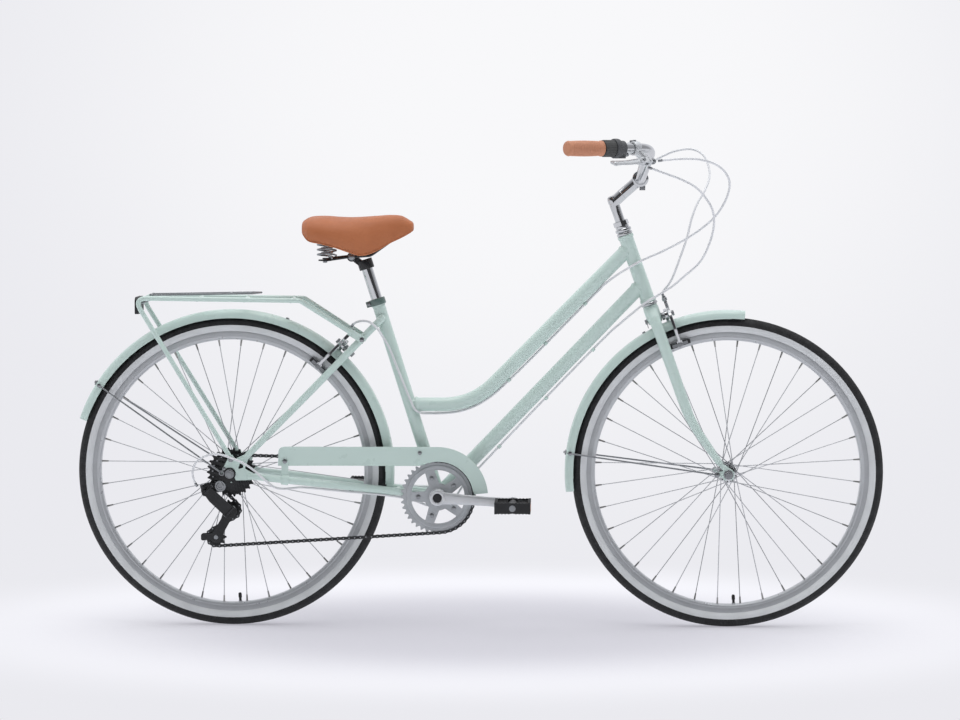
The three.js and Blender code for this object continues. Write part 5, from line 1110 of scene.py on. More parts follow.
def lever(side):
    """The lever's bracket on the bar, and its blade."""
    back = -grip_way(side)
    out = (vec(-back.y, back.x, 0) * -side).normalized()
    axis = back.cross((Z - out).normalized()).normalized()
    wide = back.cross(axis)
    clamp = on_bar(side, 180)
    pivot = clamp + out * 28 - Z * 28
    heel = pivot - back * 17
    neck = clamp + (pivot - clamp).normalized() * 13 - back * 4
    shape = Shape().collar(clamp - back * 8, back, 11.4, 15.4, 16, soften=1.4, sides=48)
    shape.rings([oval(neck.lerp(heel, share), axis, back, broad, deep, 20) for share, broad, deep in
                 ((0.0, 7.5, 6.5), (0.35, 6.5, 6.0), (0.7, 6.2, 5.6), (1.0, 6.0, 5.4))])
    shape.block(heel, (back, wide, axis), (4.0, 7.0, 6.6))
    cheek = [(7.6 * math.cos(a), 7.2 * math.sin(a))
             for a in (-math.pi / 2 + math.pi * k / 10 for k in range(11))]
    for sign in SIDES:
        shape.plate(cheek + [(-17, 7), (-17, -7)], sign * 5.0, 3.2, basis=(pivot, back, wide, axis))
    shape.bolts(pivot, axis, 6.8, 3.6, 2.6)
    shape.rod(heel, pivot - back * 26, 5.2, 24, 1)
    shape.lathe(pivot - back * 24, -back, [(0, 0), (6.2, 0), (6.6, 1.2), (6.6, 5.4), (5.0, 7.0), (4.2, 9.0),
                                           (0, 9.0)], 18, 1)
    shape.bolt(clamp - out * 3 + Z * 15.2, Z, 3.6, 3.6)
    word = WORD[side]
    make(f"lever_mount_{word}", shape, [ALLOY, STEEL], "front_assembly", [f"lever_bracket_{word}"], bevel=0.8)
    stops = [(0, 0, 5.8, 3.0), (12, 1.0, 6.2, 2.8), (25, 3.4, 5.6, 2.6), (40, 4.8, 5.2, 2.4),
             (58, 5.4, 5.0, 2.4), (70, 6.2, 5.4, 2.8), (76, 6.6, 6.2, 4.2), (80, 6.6, 4.6, 3.2),
             (81.5, 6.6, 1.6, 1.2)]
    blade = Shape().rings([oval(pivot + back * run + wide * off, wide, axis, broad, deep, 24)
                           for run, off, broad, deep in stops])
    blade.collar(pivot - axis * 2.8, axis, 2.8, 7.4, 5.6, soften=0.6, sides=32)
    make(f"lever_blade_{word}", blade, ALLOY, f"{word}_lever", [f"brake_lever_{word}"], sharp=50)


grip(-1, 90.0)
grip(1, 125.0)
shifter()
for side in SIDES:
    lever(side)


# Caliper brakes
def caliper_arm(centre, out, near, side, word):
    """An arm with its shoe; the right one lies outside and carries the cable's end."""
    down = out.cross(Y).normalized()
    down = -down if down.z > 0 else down
    layer = near + (8.0 if side < 0 else 0.0)

    def at(x, v, w):
        return centre + down * v + Y * (side * x) + out * w

    line = smooth([(x, v, 0) for x, v in ((0, 0), (11, -3.5), (21, 2.0), (29.5, 12), (33.2, 28), (33.4, 46),
                                          (30.5, 62), (28.5, 75.5))], 6)
    widths = between([11.5, 11.0, 10.0, 8.6, 7.6, 7.2, 7.2, 6.6], len(line))
    rings = []
    for i, (p, half) in enumerate(zip(line, widths)):
        run = (line[min(i + 1, len(line) - 1)] - line[max(i - 1, 0)]).normalized()
        corners = ((-1, 0.16), (-0.8, 0), (0.8, 0), (1, 0.16), (1, 0.84), (0.8, 1), (-0.8, 1), (-1, 0.84))
        rings.append([at(p.x - run.y * u * half, p.y + run.x * u * half, layer + 7.5 * w) for u, w in corners])
    shape = Shape().rings(rings)
    shape.collar(at(0, 0, layer), out, 3.4, 10.4, 7.6, 0, 1.0, 36)
    pad_x, pad_v, pad_w = 14.2, 70.6, near + 11
    shape.block(at(pad_x + 4.5, pad_v, pad_w), (out, down, Y), (24, 4.6, 4.4), 1)
    shape.block(at(pad_x + 8.4, pad_v, pad_w), (out, down, Y), (18, 3.4, 1.2), 2)
    shape.rod(at(pad_x + 8, pad_v, pad_w), at(35.5, pad_v, pad_w), 3.2, 18, 2)
    shape.bolt(at(33.6, pad_v, pad_w), Y * side, 5.0, 5.0, 2)
    shape.strip(at(30, 62, layer + 3.7), at(29.4, 76, pad_w), out, 12, 6.6)
    if side < 0:
        shape.strip(at(-2, -4, layer + 3.7), at(-14, -27, layer + 3.7), Y, 10, 7.0)
        shape.rod(at(-14, -20, layer + 3.75), at(-14, -34, layer + 3.75), 3.6, 20, 2)
        shape.lathe(at(-14, -31, layer + 3.75), -down,
                    [(2.8, 0), (5.4, 0), (5.8, 1), (5.8, 5.6), (4.6, 7), (4.2, 11), (2.8, 11)], 14, 2)
    else:
        shape.bolt(at(15, 0, layer + 7.4), out, 4.2, 4.6, 2)
    name = WORD[side]
    make(f"{word}_caliper_arm_{name}", shape, [CHROME, PAD, STEEL], f"{word}_{name}_arm",
         [f"{word}_brake_arm_{name}"], bevel=0.5)


for word, centre, out, near in (("front", FRONT_BRAKE_AT, HEAD_FORE, FRONT_LAYER),
                                ("rear", BRIDGE, REAR_OUT, REAR_LAYER)):
    for side in SIDES:
        caliper_arm(centre, out, near, side, word)


# Mudguards
GUARD_SECTION = evened([
    (0, 366.0), (6, 365.8), (11, 365.0), (15.5, 363.2), (19, 360.4), (21.4, 356.6), (22.6, 352.2),
    (23.0, 348.4), (22.9, 347.0), (21.7, 347.0), (21.6, 351.8), (20.4, 355.8), (18.2, 359.2), (15.0, 361.9),
    (10.8, 363.7), (6, 364.6), (0, 364.8)], across=True)


def mudguard(centre, first, last, stay, eyelet):
    """The skin from one angle to another, with its stays to the axle and their bolts."""
    start, end, stay = math.radians(first), math.radians(last), math.radians(stay)
    steps = int(math.degrees(end - start) / 1.6)
    turns = [start + (end - start) * k / steps for k in range(steps + 1)]
    rings = []
    for k, turn in enumerate(turns):
        edge = min(k, steps - k)
        slim = (0.72, 0.9, 0.97)[edge] if edge < 3 else 1.0
        rings.append([around(centre, r, turn, x * slim) for x, r in GUARD_SECTION])
    shape = Shape().rings(rings)
    for side in SIDES:
        shape.tube([around(centre, 347.4, turn, side * 22.4) for turn in turns[3:-3]], 1.1, 8)
        foot = aside(eyelet, side * eyelet.y)
        tip = around(centre, 352.0, stay, side * 24.2)
        path = [foot + (tip - foot).normalized() * 6, tip.lerp(foot, 0.06) + Y * (side * 1.2), tip,
                around(centre, 362.0, stay, side * 22.6)]
        shape.tube(bent(path, 12, 5), 1.9, 14, mark=1)
        shape.tube(oval(foot, X, Z, 4.6, 4.6, 20), 1.9, 10, across=Y, mark=1, closed=True)
        shape.bolt(around(centre, 356.5, stay, side * 23.0), Y * side, 3.6, 3.2)
    for lift, wide, thick in ((0.0, 11.0, 5.0), (3.2, 4.2, 2.6)):
        out = around(centre, 366.6 + lift, stay)
        way = (out - centre).normalized()
        shape.block(out, (way, Y, way.cross(Y)), (1.3, wide, thick), 1)
    return shape


def guard_bolt(shape, centre, degrees):
    place = around(centre, 366, math.radians(degrees))
    shape.bolt(place, aside(place - centre, 0), 3.4, 2.8)


def front_guard():
    shape = mudguard(FRONT, 84, 187, 173, FRONT + vec(-25.5, 57.0, 0))
    shape.strip(on_head(-33, -19.4), on_head(-47, -19.4), Y, 14, 1.6, 1)
    guard_bolt(shape, FRONT, 121)
    make("front_mudguard_skin", shape, [MINT, STEEL], "front_assembly", ["front_mudguard"], sharp=40)


def rear_guard():
    shape = mudguard(REAR, -4.6, 161, 147, REAR + vec(-17.0, 73.2, 2))
    guard_bolt(shape, REAR, 70)
    make("rear_mudguard_skin", shape, [MINT, STEEL], "main_frame", ["rear_mudguard"], sharp=40)


front_guard()
rear_guard()


# Rear rack, its reflector and the sprung clip
RACK_REAR, RACK_FRONT, RACK_HALF = -772.0, -399.0, 60.0
RACK_HEIGHT, RACK_FRONT_HEIGHT = 742.0, 737.0
RACK_RODS = (-736, -630, -525, -420)


def rack():
    shape = Shape()
    for side in SIDES:
        foot = aside(RACK_EYELET, side * 76)
        corner = vec(RACK_REAR, side * RACK_HALF, RACK_HEIGHT)
        arm = vec(-284, side * 46, 663.5)
        path = [foot + (corner - foot).normalized() * 5, corner,
                vec(RACK_FRONT, side * RACK_HALF, RACK_FRONT_HEIGHT), arm]
        shape.tube(bent(path, 18, 10), 5.4, 24)
        tab = vec(-258, side * 44, 647)
        way = (tab - arm).normalized()
        shape.strip(arm - way * 8, tab + way * 2, Y, 3.6, 16)
        shape.bolt(tab + vec(-4, side * 2.0, 2), Y * side, 4.4, 3.8)
        shape.tube([foot + vec(-1.4, 0, 8), foot, foot - Z * 6], [5.0, 5.6, 5.2], 18, flat=0.66, across=Y)
        shape.collar(foot - Y * 3.6, Y, 3.0, 7.6, 7.2, 0, 0.8, 28)
        shape.rod(vec(-736, side * 28, 739.5), vec(-766, side * 28, 726), 2.6, 14, 1)
    fall = (RACK_FRONT_HEIGHT - RACK_HEIGHT) / (RACK_FRONT - RACK_REAR)
    for x in RACK_RODS:
        middle = vec(x, 0, RACK_HEIGHT + (x - RACK_REAR) * fall - 1)
        shape.pin(middle, 58, 4.4, 18)
        for side in SIDES:
            shape.collar(middle + Y * (side * 54.6 - 0.8), Y, 4.0, 5.4, 1.6, 0, 0.5, 20)
    plane = (vec(RACK_REAR + 4.5, 0, 724), Y, Z, X)
    outline = round_outline([(-44, -19), (44, -19), (44, 12), (36, 19), (-36, 19), (-44, 12)], 6)
    shape.plate(outline, 0, 8.4, basis=plane, mark=2)
    outline = round_outline([(-39, -14.5), (39, -14.5), (39, 10), (33, 15), (-33, 15), (-39, 10)], 5)
    shape.plate(outline, -4.3, 0.8, basis=plane, mark=3)
    make("rear_rack_tubes", shape, [MINT, STEEL, BLACK, LENS], "main_frame", ["rear_rack"], bevel=0.6)


def clip(half=28, turns=4, steps=16):
    hinge = vec(-738, 0, 747.4)
    path = [aside(hinge, -half), vec(-509, -half, 751.4), vec(-489, 0, 752.4), vec(-509, half, 751.4),
            aside(hinge, half)]
    shape = Shape().tube(bent(path, 9, 8), 2.2, 16)
    shape.pin(hinge, half, 1.9, 14)
    for side in SIDES:
        coil = [around(hinge, 2.5, 2 * math.pi * k / steps, side * (25.5 - k * 0.155))
                for k in range(turns * steps + 1)]
        shape.tube(coil, 0.55, 6, across=Z)
    shape.pin(vec(-560, 0, 751.0), half, 1.7, 12)
    make("rack_clip_wire", shape, STEEL, "rack_clip", ["rack_spring_clip"], sharp=40)


rack()
clip()


# Saddle: each station along it has its top, hem, underside and half width
STATIONS = [(-391, 916, 884, 886, 72), (-378, 923, 869, 885, 92), (-348, 925, 862, 885, 102),
            (-316, 923, 853, 885, 100), (-289, 922, 843, 884, 91), (-262, 923, 835, 884, 77),
            (-232, 925, 843, 885, 60), (-200, 927, 862, 887, 44), (-174, 925, 875, 889, 34),
            (-155, 914, 887, 891, 24)]
# Shares of the half width and of the fall from the top to the hem, then to the underside
SADDLE_HEM = [(0, 0), (0.2, 0.004), (0.38, 0.02), (0.55, 0.045), (0.7, 0.095), (0.82, 0.17), (0.91, 0.28),
              (0.975, 0.42), (1, 0.58), (0.992, 0.74), (0.965, 0.88), (0.955, 0.93), (0.94, 0.975),
              (0.9, 0.985), (0.87, 0.9)]
SADDLE_UNDER = [(0.8, 0.96), (0.5, 1), (0.2, 1)]


def saddle_rows():
    tops = smooth([(x, top, hem) for x, top, hem, under, half in STATIONS], 6)
    sides = smooth([(x, under, half) for x, top, hem, under, half in STATIONS], 6)
    rows = [(a.x, a.y, a.z, b.y, b.z) for a, b in zip(tops, sides)]

    def rounded_off(row, level, steps, power):
        """Rows that close an end, drawn in to a level."""
        x, top, hem, under, half = row
        for share, reach in steps:
            low = level + (hem - level) * share
            yield (x + reach, level + (top - level) * share, low, max(low, level - (level - under) * share),
                   half * share ** power)

    back = list(rounded_off(rows[0], 900, ((0.93, -2.0), (0.8, -3.4), (0.55, -4.3)), 0.6))
    return back[::-1] + rows + list(rounded_off(rows[-1], 901, ((0.9, 3.0), (0.72, 5.6), (0.4, 7.4)), 0.7))


def saddle():
    rows = saddle_rows()
    rings = []
    for x, top, hem, under, half in rows:
        right = [(wide * half, top - (top - hem) * fall) for wide, fall in SADDLE_HEM] + \
            [(wide * half, top - (top - under) * fall) for wide, fall in SADDLE_UNDER]
        rings.append([vec(x, -y, z) for y, z in right] + [vec(x, y, z) for y, z in right[:0:-1]])
    made = make("saddle_cushion_cover", Shape().rings(rings), COVER, "saddle_top", ["saddle_cushion"], sharp=60,
                subdivide=1)
    trim, hem_line = Shape(), 0.955
    for side in SIDES:
        trim.tube([vec(x, side * half * hem_line, top - (top - hem) * hem_line)
                   for x, top, hem, under, half in rows[3:-3]], 1.3, 10)
    make("saddle_hem_trim", trim, COVER, "saddle_top", sharp=60)


SPRING_FOOT = vec(-343, 55, 825.4)


def saddle_rails():
    shape = Shape()
    for side in SIDES:
        base = aside(SPRING_FOOT, side * SPRING_FOOT.y)
        path = [base + Z * 1.6, vec(-296, side * 22, 833), vec(-244, side * 22, 836.5),
                vec(-176, side * 8, 885)]
        shape.tube(bent(path, 16, 8), 3.4, 18)
        shape.lathe(base, Z, [(0, 0), (14.6, 0), (15.0, 0.8), (14.6, 3.2), (0, 3.2)], 32)
        shape.bolt(base, -Z, 4.6, 4.0)
    shape.pin(vec(-176, 0, 885), 11, 3.4, 18)
    shape.collar(on_seat(534), SEAT_UP, 13.0, 17.2, 22, 0, 1.2, 44)
    clamp = vec(-286, 0, 833)
    shape.strip(clamp, on_seat(545, -6), Y, 15, 14)
    shape.pin(clamp, 24, 5.0, 20, 1)
    for side in SIDES:
        for out, radius in ((13.5, 10.6), (21.5, 10.2)):
            shape.lathe(clamp + Y * (side * out), Y * side, [(4.4, -2.6), (radius, -2.6), (radius + 0.4, 0),
                                                            (radius - 0.6, 2.6), (4.4, 2.6)], 32)
    shape.bolts(clamp, Y, 24.4, 6.2, 5.0)
    make("saddle_rail_wires", shape, [BLACK_METAL, STEEL], "seatpost_body", ["saddle_rails"], bevel=0.6)


def saddle_spring(side, radius=16.5, pitch=11, turns=4, steps=24):
    base = vec(SPRING_FOOT.x, side * SPRING_FOOT.y, 834)
    coil = [base + vec(radius * math.cos(turn), radius * math.sin(turn), pitch * turn / (2 * math.pi))
            for turn in (2 * math.pi * k / steps for k in range(turns * steps + 1))]
    path = [coil[0] + vec(-0.6, -9, -2.2), coil[0] + vec(0, -4.5, -1.6)] + coil + [coil[-1] + Z * 3.4]
    made = make(f"saddle_coil_{WORD[side]}", Shape().tube(path, 2.15, 12), STEEL, None,
                [f"saddle_spring_{WORD[side]}"], sharp=60)
    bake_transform(made)


saddle()
saddle_rails()
for side in SIDES:
    saddle_spring(side)


# Cranks and pedals
CRANK_LENGTH, CRANK_IN, CRANK_SPLAY = 170, 60, 10
CRANK_TURN = math.radians(-3.5)
PEDAL_WIDTH = 95.0


def pedal_eye(side):
    return around(CRANK, CRANK_LENGTH, CRANK_TURN if side < 0 else math.pi + CRANK_TURN)


def crank(side):
    eye = pedal_eye(side)
    run = (eye - CRANK).normalized()

    def face(distance, depth):
        return side * (CRANK_IN + CRANK_SPLAY * distance / CRANK_LENGTH + depth)

    section = ((1, -0.62), (1, 0.62), (0.78, 0.94), (0.4, 1), (-0.4, 1), (-0.78, 0.94), (-1, 0.62), (-1, -0.62),
               (-0.8, -1), (0.8, -1))
    rings = []
    for distance, half, thick in ((4, 14.5, 12.8), (26, 12.6, 12.6), (60, 11.2, 12.0), (110, 10.2, 11.6),
                                  (148, 10.6, 11.8), (166, 12.0, 12.2)):
        middle = aside(CRANK + run * distance, face(distance, 6.25))
        rings.append([middle + square(run) * (u * half) + Y * (side * w * thick / 2) for u, w in section])
    shape = Shape().rings(rings)
    inner, step = (46.3, 12) if side < 0 else (54, 6)
    end = CRANK_IN - inner + 12.6
    shape.lathe(aside(CRANK, side * inner), Y * side,
                [(8.4, 0), (19.0, 0), (19.2, 2), (18.4, step), (17.4, end + 1), (14.6, end + 2.2),
                 (10.4, end + 2.2), (10.4, end), (0, end)], 52, soften=0.8)
    shape.lathe(aside(CRANK, side * 72.4), Y * side,
                [(0, 0), (10.0, 0), (10.0, 1.6), (8.6, 2.6), (0, 2.8)], 36, 1)
    shape.lathe(aside(eye, face(CRANK_LENGTH, 0)), Y * side,
                [(5.2, 0), (13.6, 0), (14.0, 1.2), (14.0, 11.2), (13.2, 12.4), (5.2, 12.4)], 40)
    shape.rod(aside(eye, face(CRANK_LENGTH, 1)), aside(eye, face(CRANK_LENGTH, 108.5)), 4.8, 20, 2)
    shape.lathe(aside(eye, face(CRANK_LENGTH, 12.8)), Y * side, sleeve(4.8, 7.6, 3.4)[:4], 6, 2)
    if side < 0:
        for i in range(5):
            shape.bolt(around(CRANK, 44, math.pi + 2 * i * math.pi / 5, -46.2), -Y, 4.2, 2.2, 2)
        shape.lathe(aside(CRANK, -43.9), -Y, sleeve(8.4, 16.9, 2.6)[:4])
    word = WORD[side]
    make(f"{word}_crank_arm", shape, [ALLOY, BLACK, STEEL], "crankset", [f"{word}_crank"], bevel=0.5)


def pedal(side):
    eye = pedal_eye(side)
    shape = Shape()

    def at(x, y, z):
        return vec(eye.x + x, side * (87.5 + y), eye.z + z)

    def box(x, y, z, halves, mark=0):
        shape.block(at(x, y, z), (X, Y, Z), halves, mark)

    wide, half = PEDAL_WIDTH, PEDAL_WIDTH / 2
    for sign in SIDES:
        box(sign * 36.8, half, 0, (3.0, half, 12.6))
        box(sign * 39.4, half, 0, (0.5, half - 12, 7.4), 2)
        for k in range(4):
            box(sign * 23, 18 + k * 19.6, 0, (12.6, 1.7, 9.4))
        for y in (3.6, wide - 3.6):
            box(sign * 20, y, 0, (19.6, 3.4, 11.8))
            for k in range(4):
                for up in SIDES:
                    box(sign * (8 + k * 7.5), y, up * 12.2, (1.8, 2.6, 0.6))
        for k in range(9):
            for up in SIDES:
                box(sign * 36.8, 8 + k * (wide - 16) / 8, up * 12.9, (2.8, 2.2, 0.55))
    shape.lathe(at(0, 0.2, 0), Y * side,
                [(5.8, 0), (10.4, 0), (10.4, wide - 1.4), (8.0, wide - 0.4), (0, wide - 0.4)], 36, soften=0.8)
    shape.lathe(at(0, wide - 1.0, 0), Y * side, [(0, 0), (7.6, 0), (7.2, 1.0), (0, 1.0)], 28, 1)
    word = WORD[side]
    make(f"pedal_body_{word}", shape, [BLACK, STEEL, AMBER], f"{word}_pedal_body", [f"pedal_{word}"], bevel=0.5)


turned_piece("bottom_bracket_spindle", "crank_spindle", "crankset", aside(CRANK, -66), Y,
             [(0, 0), (8.0, 0), (8.0, 132), (0, 132)], 0.6, 32, STEEL)
for side in SIDES:
    crank(side)
    pedal(side)


# Rear derailleur
LINK_WAY = (CAGE - KNUCKLE).normalized()
LINK_ACROSS = square(LINK_WAY)
LINK_Y = -82


def ears(shape, centre):
    """Two cheeks with their pin, where the link swings."""
    for sign in SIDES:
        shape.block(aside(centre, LINK_Y + 1.8) + LINK_ACROSS * (sign * 13.1), (LINK_ACROSS, Y, LINK_WAY),
                    (1.5, 6.2, 4.2))
        shape.lathe(aside(centre, LINK_Y) + LINK_ACROSS * (sign * 14.4), LINK_ACROSS * sign,
                    [(0, 0), (3.4, 0), (3.0, 1.2), (0, 1.4)], 20, 1)
    shape.pin(aside(centre, LINK_Y), 14.4, 2.1, 16, 1, LINK_ACROSS)


def upper_body():
    shape = Shape()
    shape.lathe(aside(KNUCKLE, -71.2), -Y,
                [(0, 0), (15.6, 0), (16.2, 1.0), (15.6, 3.4), (12.6, 3.9), (0, 3.9)], 44)
    ears(shape, KNUCKLE)
    claw = [REAR + vec(x, 0, z) for x, z in ((-12, 8), (-4, 15), (9, 13), (15, 2), (11, -10))] + \
        [HANGER + vec(x, 0, z) for x, z in ((12, -2), (5, -10), (-8, -7), (-9, 8))]
    shape.plate(round_outline(flat(claw), 6), -71.1, 1.4)
    shape.lathe(aside(HANGER, -74.6), -Y, [(8.6, 0), (12.4, 0), (12.6, 1.2), (11.8, 2.4), (8.6, 2.4)], 36, 1)
    way = (HANGER - KNUCKLE).normalized()
    outline = flat_arc((0, 0), 13, math.pi / 2, 3 * math.pi / 2, 12) + \
        flat_arc(((HANGER - KNUCKLE).length, 0), 8.2, -math.pi / 2, math.pi / 2, 10)
    shape.plate(outline, -73.1, 3.6, basis=(KNUCKLE, way, square(way), Y))
    shape.lathe(aside(HANGER, -71.4), -Y, [(0, 0), (8.4, 0), (8.4, 5.6), (7.4, 6.6), (3.6, 6.6), (3.6, 4.4),
                                          (0, 4.4)], 30, 1)
    tail = KNUCKLE + vec(-12.5, -79.0, 6.5)
    shape.tube([KNUCKLE + vec(-6, -74.5, 4), tail, tail + vec(-1.4, -1.6, 5.0)], [4.6, 4.2, 3.9], 18)
    for x, z in ((8, 8.5), (6.5, -0.5)):
        shape.lathe(KNUCKLE + vec(x, -74.6, z), -Y, [(0, 0), (2.4, 0), (2.4, 2.2), (0, 2.4)], 16, 1)
    make("derailleur_upper_body", shape, [BLACK_METAL, STEEL], "main_frame", ["derailleur_body"], bevel=0.5)


def link():
    shape = Shape()
    one, two = aside(KNUCKLE, LINK_Y), aside(CAGE, LINK_Y)
    for end in (one, two):
        shape.collar(end - LINK_ACROSS * 10.9, LINK_ACROSS, 2.6, 4.2, 21.8, 0, 0.5, 24)
    span = (two - one).length
    plane = (one, LINK_WAY, LINK_ACROSS, Y)
    outline = round_outline([(-3, -11), (span * 0.3, -15), (span + 2, -14), (span + 4, 4), (span - 1.5, 12.4),
                             (span * 0.55, 11.6), (1.5, 10.8)], 4.0)
    hollow = round_outline([(span * share, across) for share, across in
                            ((0.3, -4.6), (0.7, -4.6), (0.66, 4.2), (0.34, 4.2))], 2.0)
    shape.plate(outline, 0, 4.2, [hollow], basis=plane)
    shape.plate(outline, -2.6, 1.0, basis=plane)
    make("derailleur_link_plate", shape, [BLACK_METAL], "derailleur_link", ["derailleur_links"], bevel=0.6)


def lower_knuckle():
    shape = Shape()
    shape.lathe(aside(CAGE, -52.4), -Y, [(2.8, 0), (12.8, 0), (13.0, 1.4), (12.6, 20.6), (2.8, 21)], 40,
                soften=0.7)
    shape.lathe(aside(CAGE, -73.0), -Y, [(0, 0), (15.4, 0), (16.0, 0.8), (15.4, 2.2), (0, 2.2)], 40)
    ears(shape, CAGE)
    make("derailleur_lower_knuckle", shape, [BLACK_METAL, STEEL], "lower_knuckle", ["derailleur_knuckle"],
         bevel=0.5)


def cage(plate_out=5.8):
    run = (LOWER - CAGE).normalized()
    tab = LOWER - X * 32

    def corner(share, across, on=0.0):
        return CAGE.lerp(LOWER, share) + square(run) * across + run * on

    outer = [corner(0, 15, 3), corner(0, 11, -10), corner(0, 0, -15), corner(0, -11, -10), corner(0, -15),
             corner(0.4, -10), corner(0.75, -10.5), corner(1, -13, -2)] + \
        [tab + vec(x, 0, z) for x, z in ((2, 8), (-2, 6), (-2, -6), (2, -8))] + \
        [corner(1, -9, 11), corner(1, 0, 14.5), corner(1, 10, 10), corner(1, 14), corner(0.7, 10),
         corner(0.3, 10)]
    shape = Shape()
    for sign in SIDES:
        shape.plate(round_outline(flat(outer), 6.0), CHAIN_Y + sign * plate_out, 1.5)
    shape.pin(aside(tab + X * 2.4, CHAIN_Y), 5.6, 2.3, 16, 1)
    for centre in (CAGE, LOWER):
        shape.pin(aside(centre, CHAIN_Y), plate_out, 2.1, 16, 1)
        shape.lathe(aside(centre, CHAIN_Y + 6.5), Y, [(0, 0), (4.2, 0), (4.2, 1.6), (3.4, 2.4), (0, 2.4)], 6, 1)
    shape.lathe(aside(LOWER, CHAIN_Y - 6.5), -Y, [(0, 0), (5.0, 0), (5.0, 1.0), (4.2, 1.6), (0, 1.6)], 24, 1)
    make("derailleur_cage_plates", shape, [BLACK_METAL, STEEL], "cage", ["derailleur_cage"], bevel=0.3)


def jockey(centre, word):
    shape = Shape().plate(teeth_outline(centre, JOCKEY_TEETH, 2.9, 3.2), CHAIN_Y, 2.1,
                          [flat_circle((centre.x, centre.z), 6.0)])
    shape.lathe(aside(centre, CHAIN_Y - 4.2), Y,
                [(2.7, 0), (6.6, 0), (7.0, 0.6), (7.0, 7.8), (6.6, 8.4), (2.7, 8.4), (2.7, 0)], 32)
    make(f"jockey_{word}_wheel", shape, BLACK, f"{word}_jockey", [f"jockey_{word}"], bevel=0.3)


upper_body()
link()
lower_knuckle()
cage()
jockey(CAGE, "upper")
jockey(LOWER, "lower")


# Chainguard
GUARD_R, GUARD_MOUTH_R, GUARD_LOW, GUARD_Y = 113, 81.5, 367, -57


def chainguard():
    top = CRANK.z + GUARD_R
    start = math.radians(5)
    outer = flat_arc((CRANK.x, CRANK.z), GUARD_R, start, math.pi / 2, 28)
    tail = [(-436, top), (-443.5, top - 2), (-447.5, top - 6)]
    mouth_end = math.pi - math.asin((GUARD_LOW - CRANK.z) / GUARD_MOUTH_R)
    mouth = flat_arc((CRANK.x, CRANK.z), GUARD_MOUTH_R, mouth_end, start, 34)
    shape = Shape().plate(outer + tail + [(-449, top - 12), (-450, GUARD_LOW)] + mouth, GUARD_Y, 1.6)
    rings = []
    for i, (x, z) in enumerate(outer + tail):
        p = vec(x, 0, z)
        inward = (CRANK - p).normalized() if i < len(outer) else -Z
        near, far = p + inward * 0.2, p + inward * 1.6
        rings.append([aside(near, -57.3), aside(near, -51.4), aside(far, -51.4), aside(far, -57.3)])
    shape.rings(rings)
    bead = [vec(x, -57.6, z) for x, z in mouth[1:-1]]
    shape.tube(bead, 1.3, 10)
    shape.tube([vec(-449.6, -57.4, GUARD_LOW + 0.6), aside(bead[0], -57.4)], 1.2, 10)
    run, stay_start, stay_end, stay_in = 124, 42, 345, 34.5     # where the bracket holds the chainstay
    foot = REAR + CHAINSTAY * run
    stay_y = DROPOUT_Y + (stay_in - DROPOUT_Y) * (run - stay_start) / (stay_end - stay_start)
    way = (aside(REAR + CHAINSTAY * (run + 16), -(stay_y - 1.76)) - aside(foot, -stay_y)).normalized()
    shape.collar(aside(foot, -stay_y) - way * 8, way, 9.0, 11.6, 16, 0, 0.8, 40)
    shape.block(vec(foot.x, -59.2, (GUARD_LOW + foot.z) / 2 + 6), (X, Y, Z), (7.6, 1.3, (376 - foot.z) / 2))
    shape.bolt(vec(foot.x, -60.5, 377), -Y, 4.2, 3.4)
    shape.bolt(CRANK + vec(-40, -57.9, 100), -Y, 3.6, 2.6)
    make("chainguard_plate", shape, [MINT, STEEL], "main_frame", ["chainguard"], bevel=0.3)


chainguard()


# Cables in their housing
REAR_BRAKE = [
    (394, -199, 1049), (447, -190, 1053), (489, -176, 1051), (526, -158, 1038),
    (548, -140, 1015), (553, -126, 993), (545, -110, 962), (524, -91, 927), (498, -74, 902),
    (463, -57, 877), (409, -36, 847), (365, -22, 827), (338, -20, 812), (312, -17, 796),
    (284, -7, 775), (262, 0, 753), (56, 0, 545.4),
    (18, 0, 513.6), (-16, 0, 494.6), (-52, 0, 484), (-90, 0, 480.6), (-112, -2, 480.6),
    (-130, -10, 482), (-144, -18.5, 490), (-156, -19.2, 515), (-187, -19.4, 592),
    (-202, -23, 630), (-216, -31, 655), (-229, -38, 675), (-243, -36.5, 687), (-259, -24, 690),
    (-274, -5, 687), (-283, 8, 682), (-289.5, 13.8, 675)]
SHIFT = [
    (372, -196, 1035), (414, -186, 1020), (448, -174, 1007), (479, -158, 990),
    (502, -140, 965), (516, -124, 940), (520, -106, 909), (513, -89, 872), (492, -69, 826),
    (457, -50, 792), (432, -39, 770), (398, -29, 748), (368, -24, 729), (340, -22, 706),
    (311, -14, 681), (296, -12, 668), (4, -12, 364.5), (-34, -12, 322),
    (-56, -12, 290), (-72, -14, 276), (-92, -20, 270.5), (-116, -27, 275), (-150, -32.5, 288),
    (-190, -35, 296), (-300, -44.5, 308), (-400, -55, 317.5), (-418, -57.5, 316), (-442, -61, 315),
    (-457, -65, 319), (-470, -71, 329), (-484, -77, 342), (-500, -81, 357), (-524, -84, 374),
    (-551, -90, 386.5), (-581, -95, 396), (-608, -96, 392), (-629, -94, 378), (-638, -90, 356),
    (-636, -86, 338), (-628.5, -82.5, 322)]
FRONT_BRAKE = [
    (387.9, 200.1, 1047.6), (399, 192.5, 1050), (417, 188, 1059), (441, 183, 1069), (480, 168, 1074),
    (507, 142, 1059), (519, 105, 1017), (508, 77, 983), (489, 56, 951), (476, 42, 917), (466, 32, 877),
    (446, 21, 820), (432, 16, 784), (423, 14.5, 769), (414.5, 14, 759), (410.7, 14, 750.3),
    (412.4, 14, 745.4)]


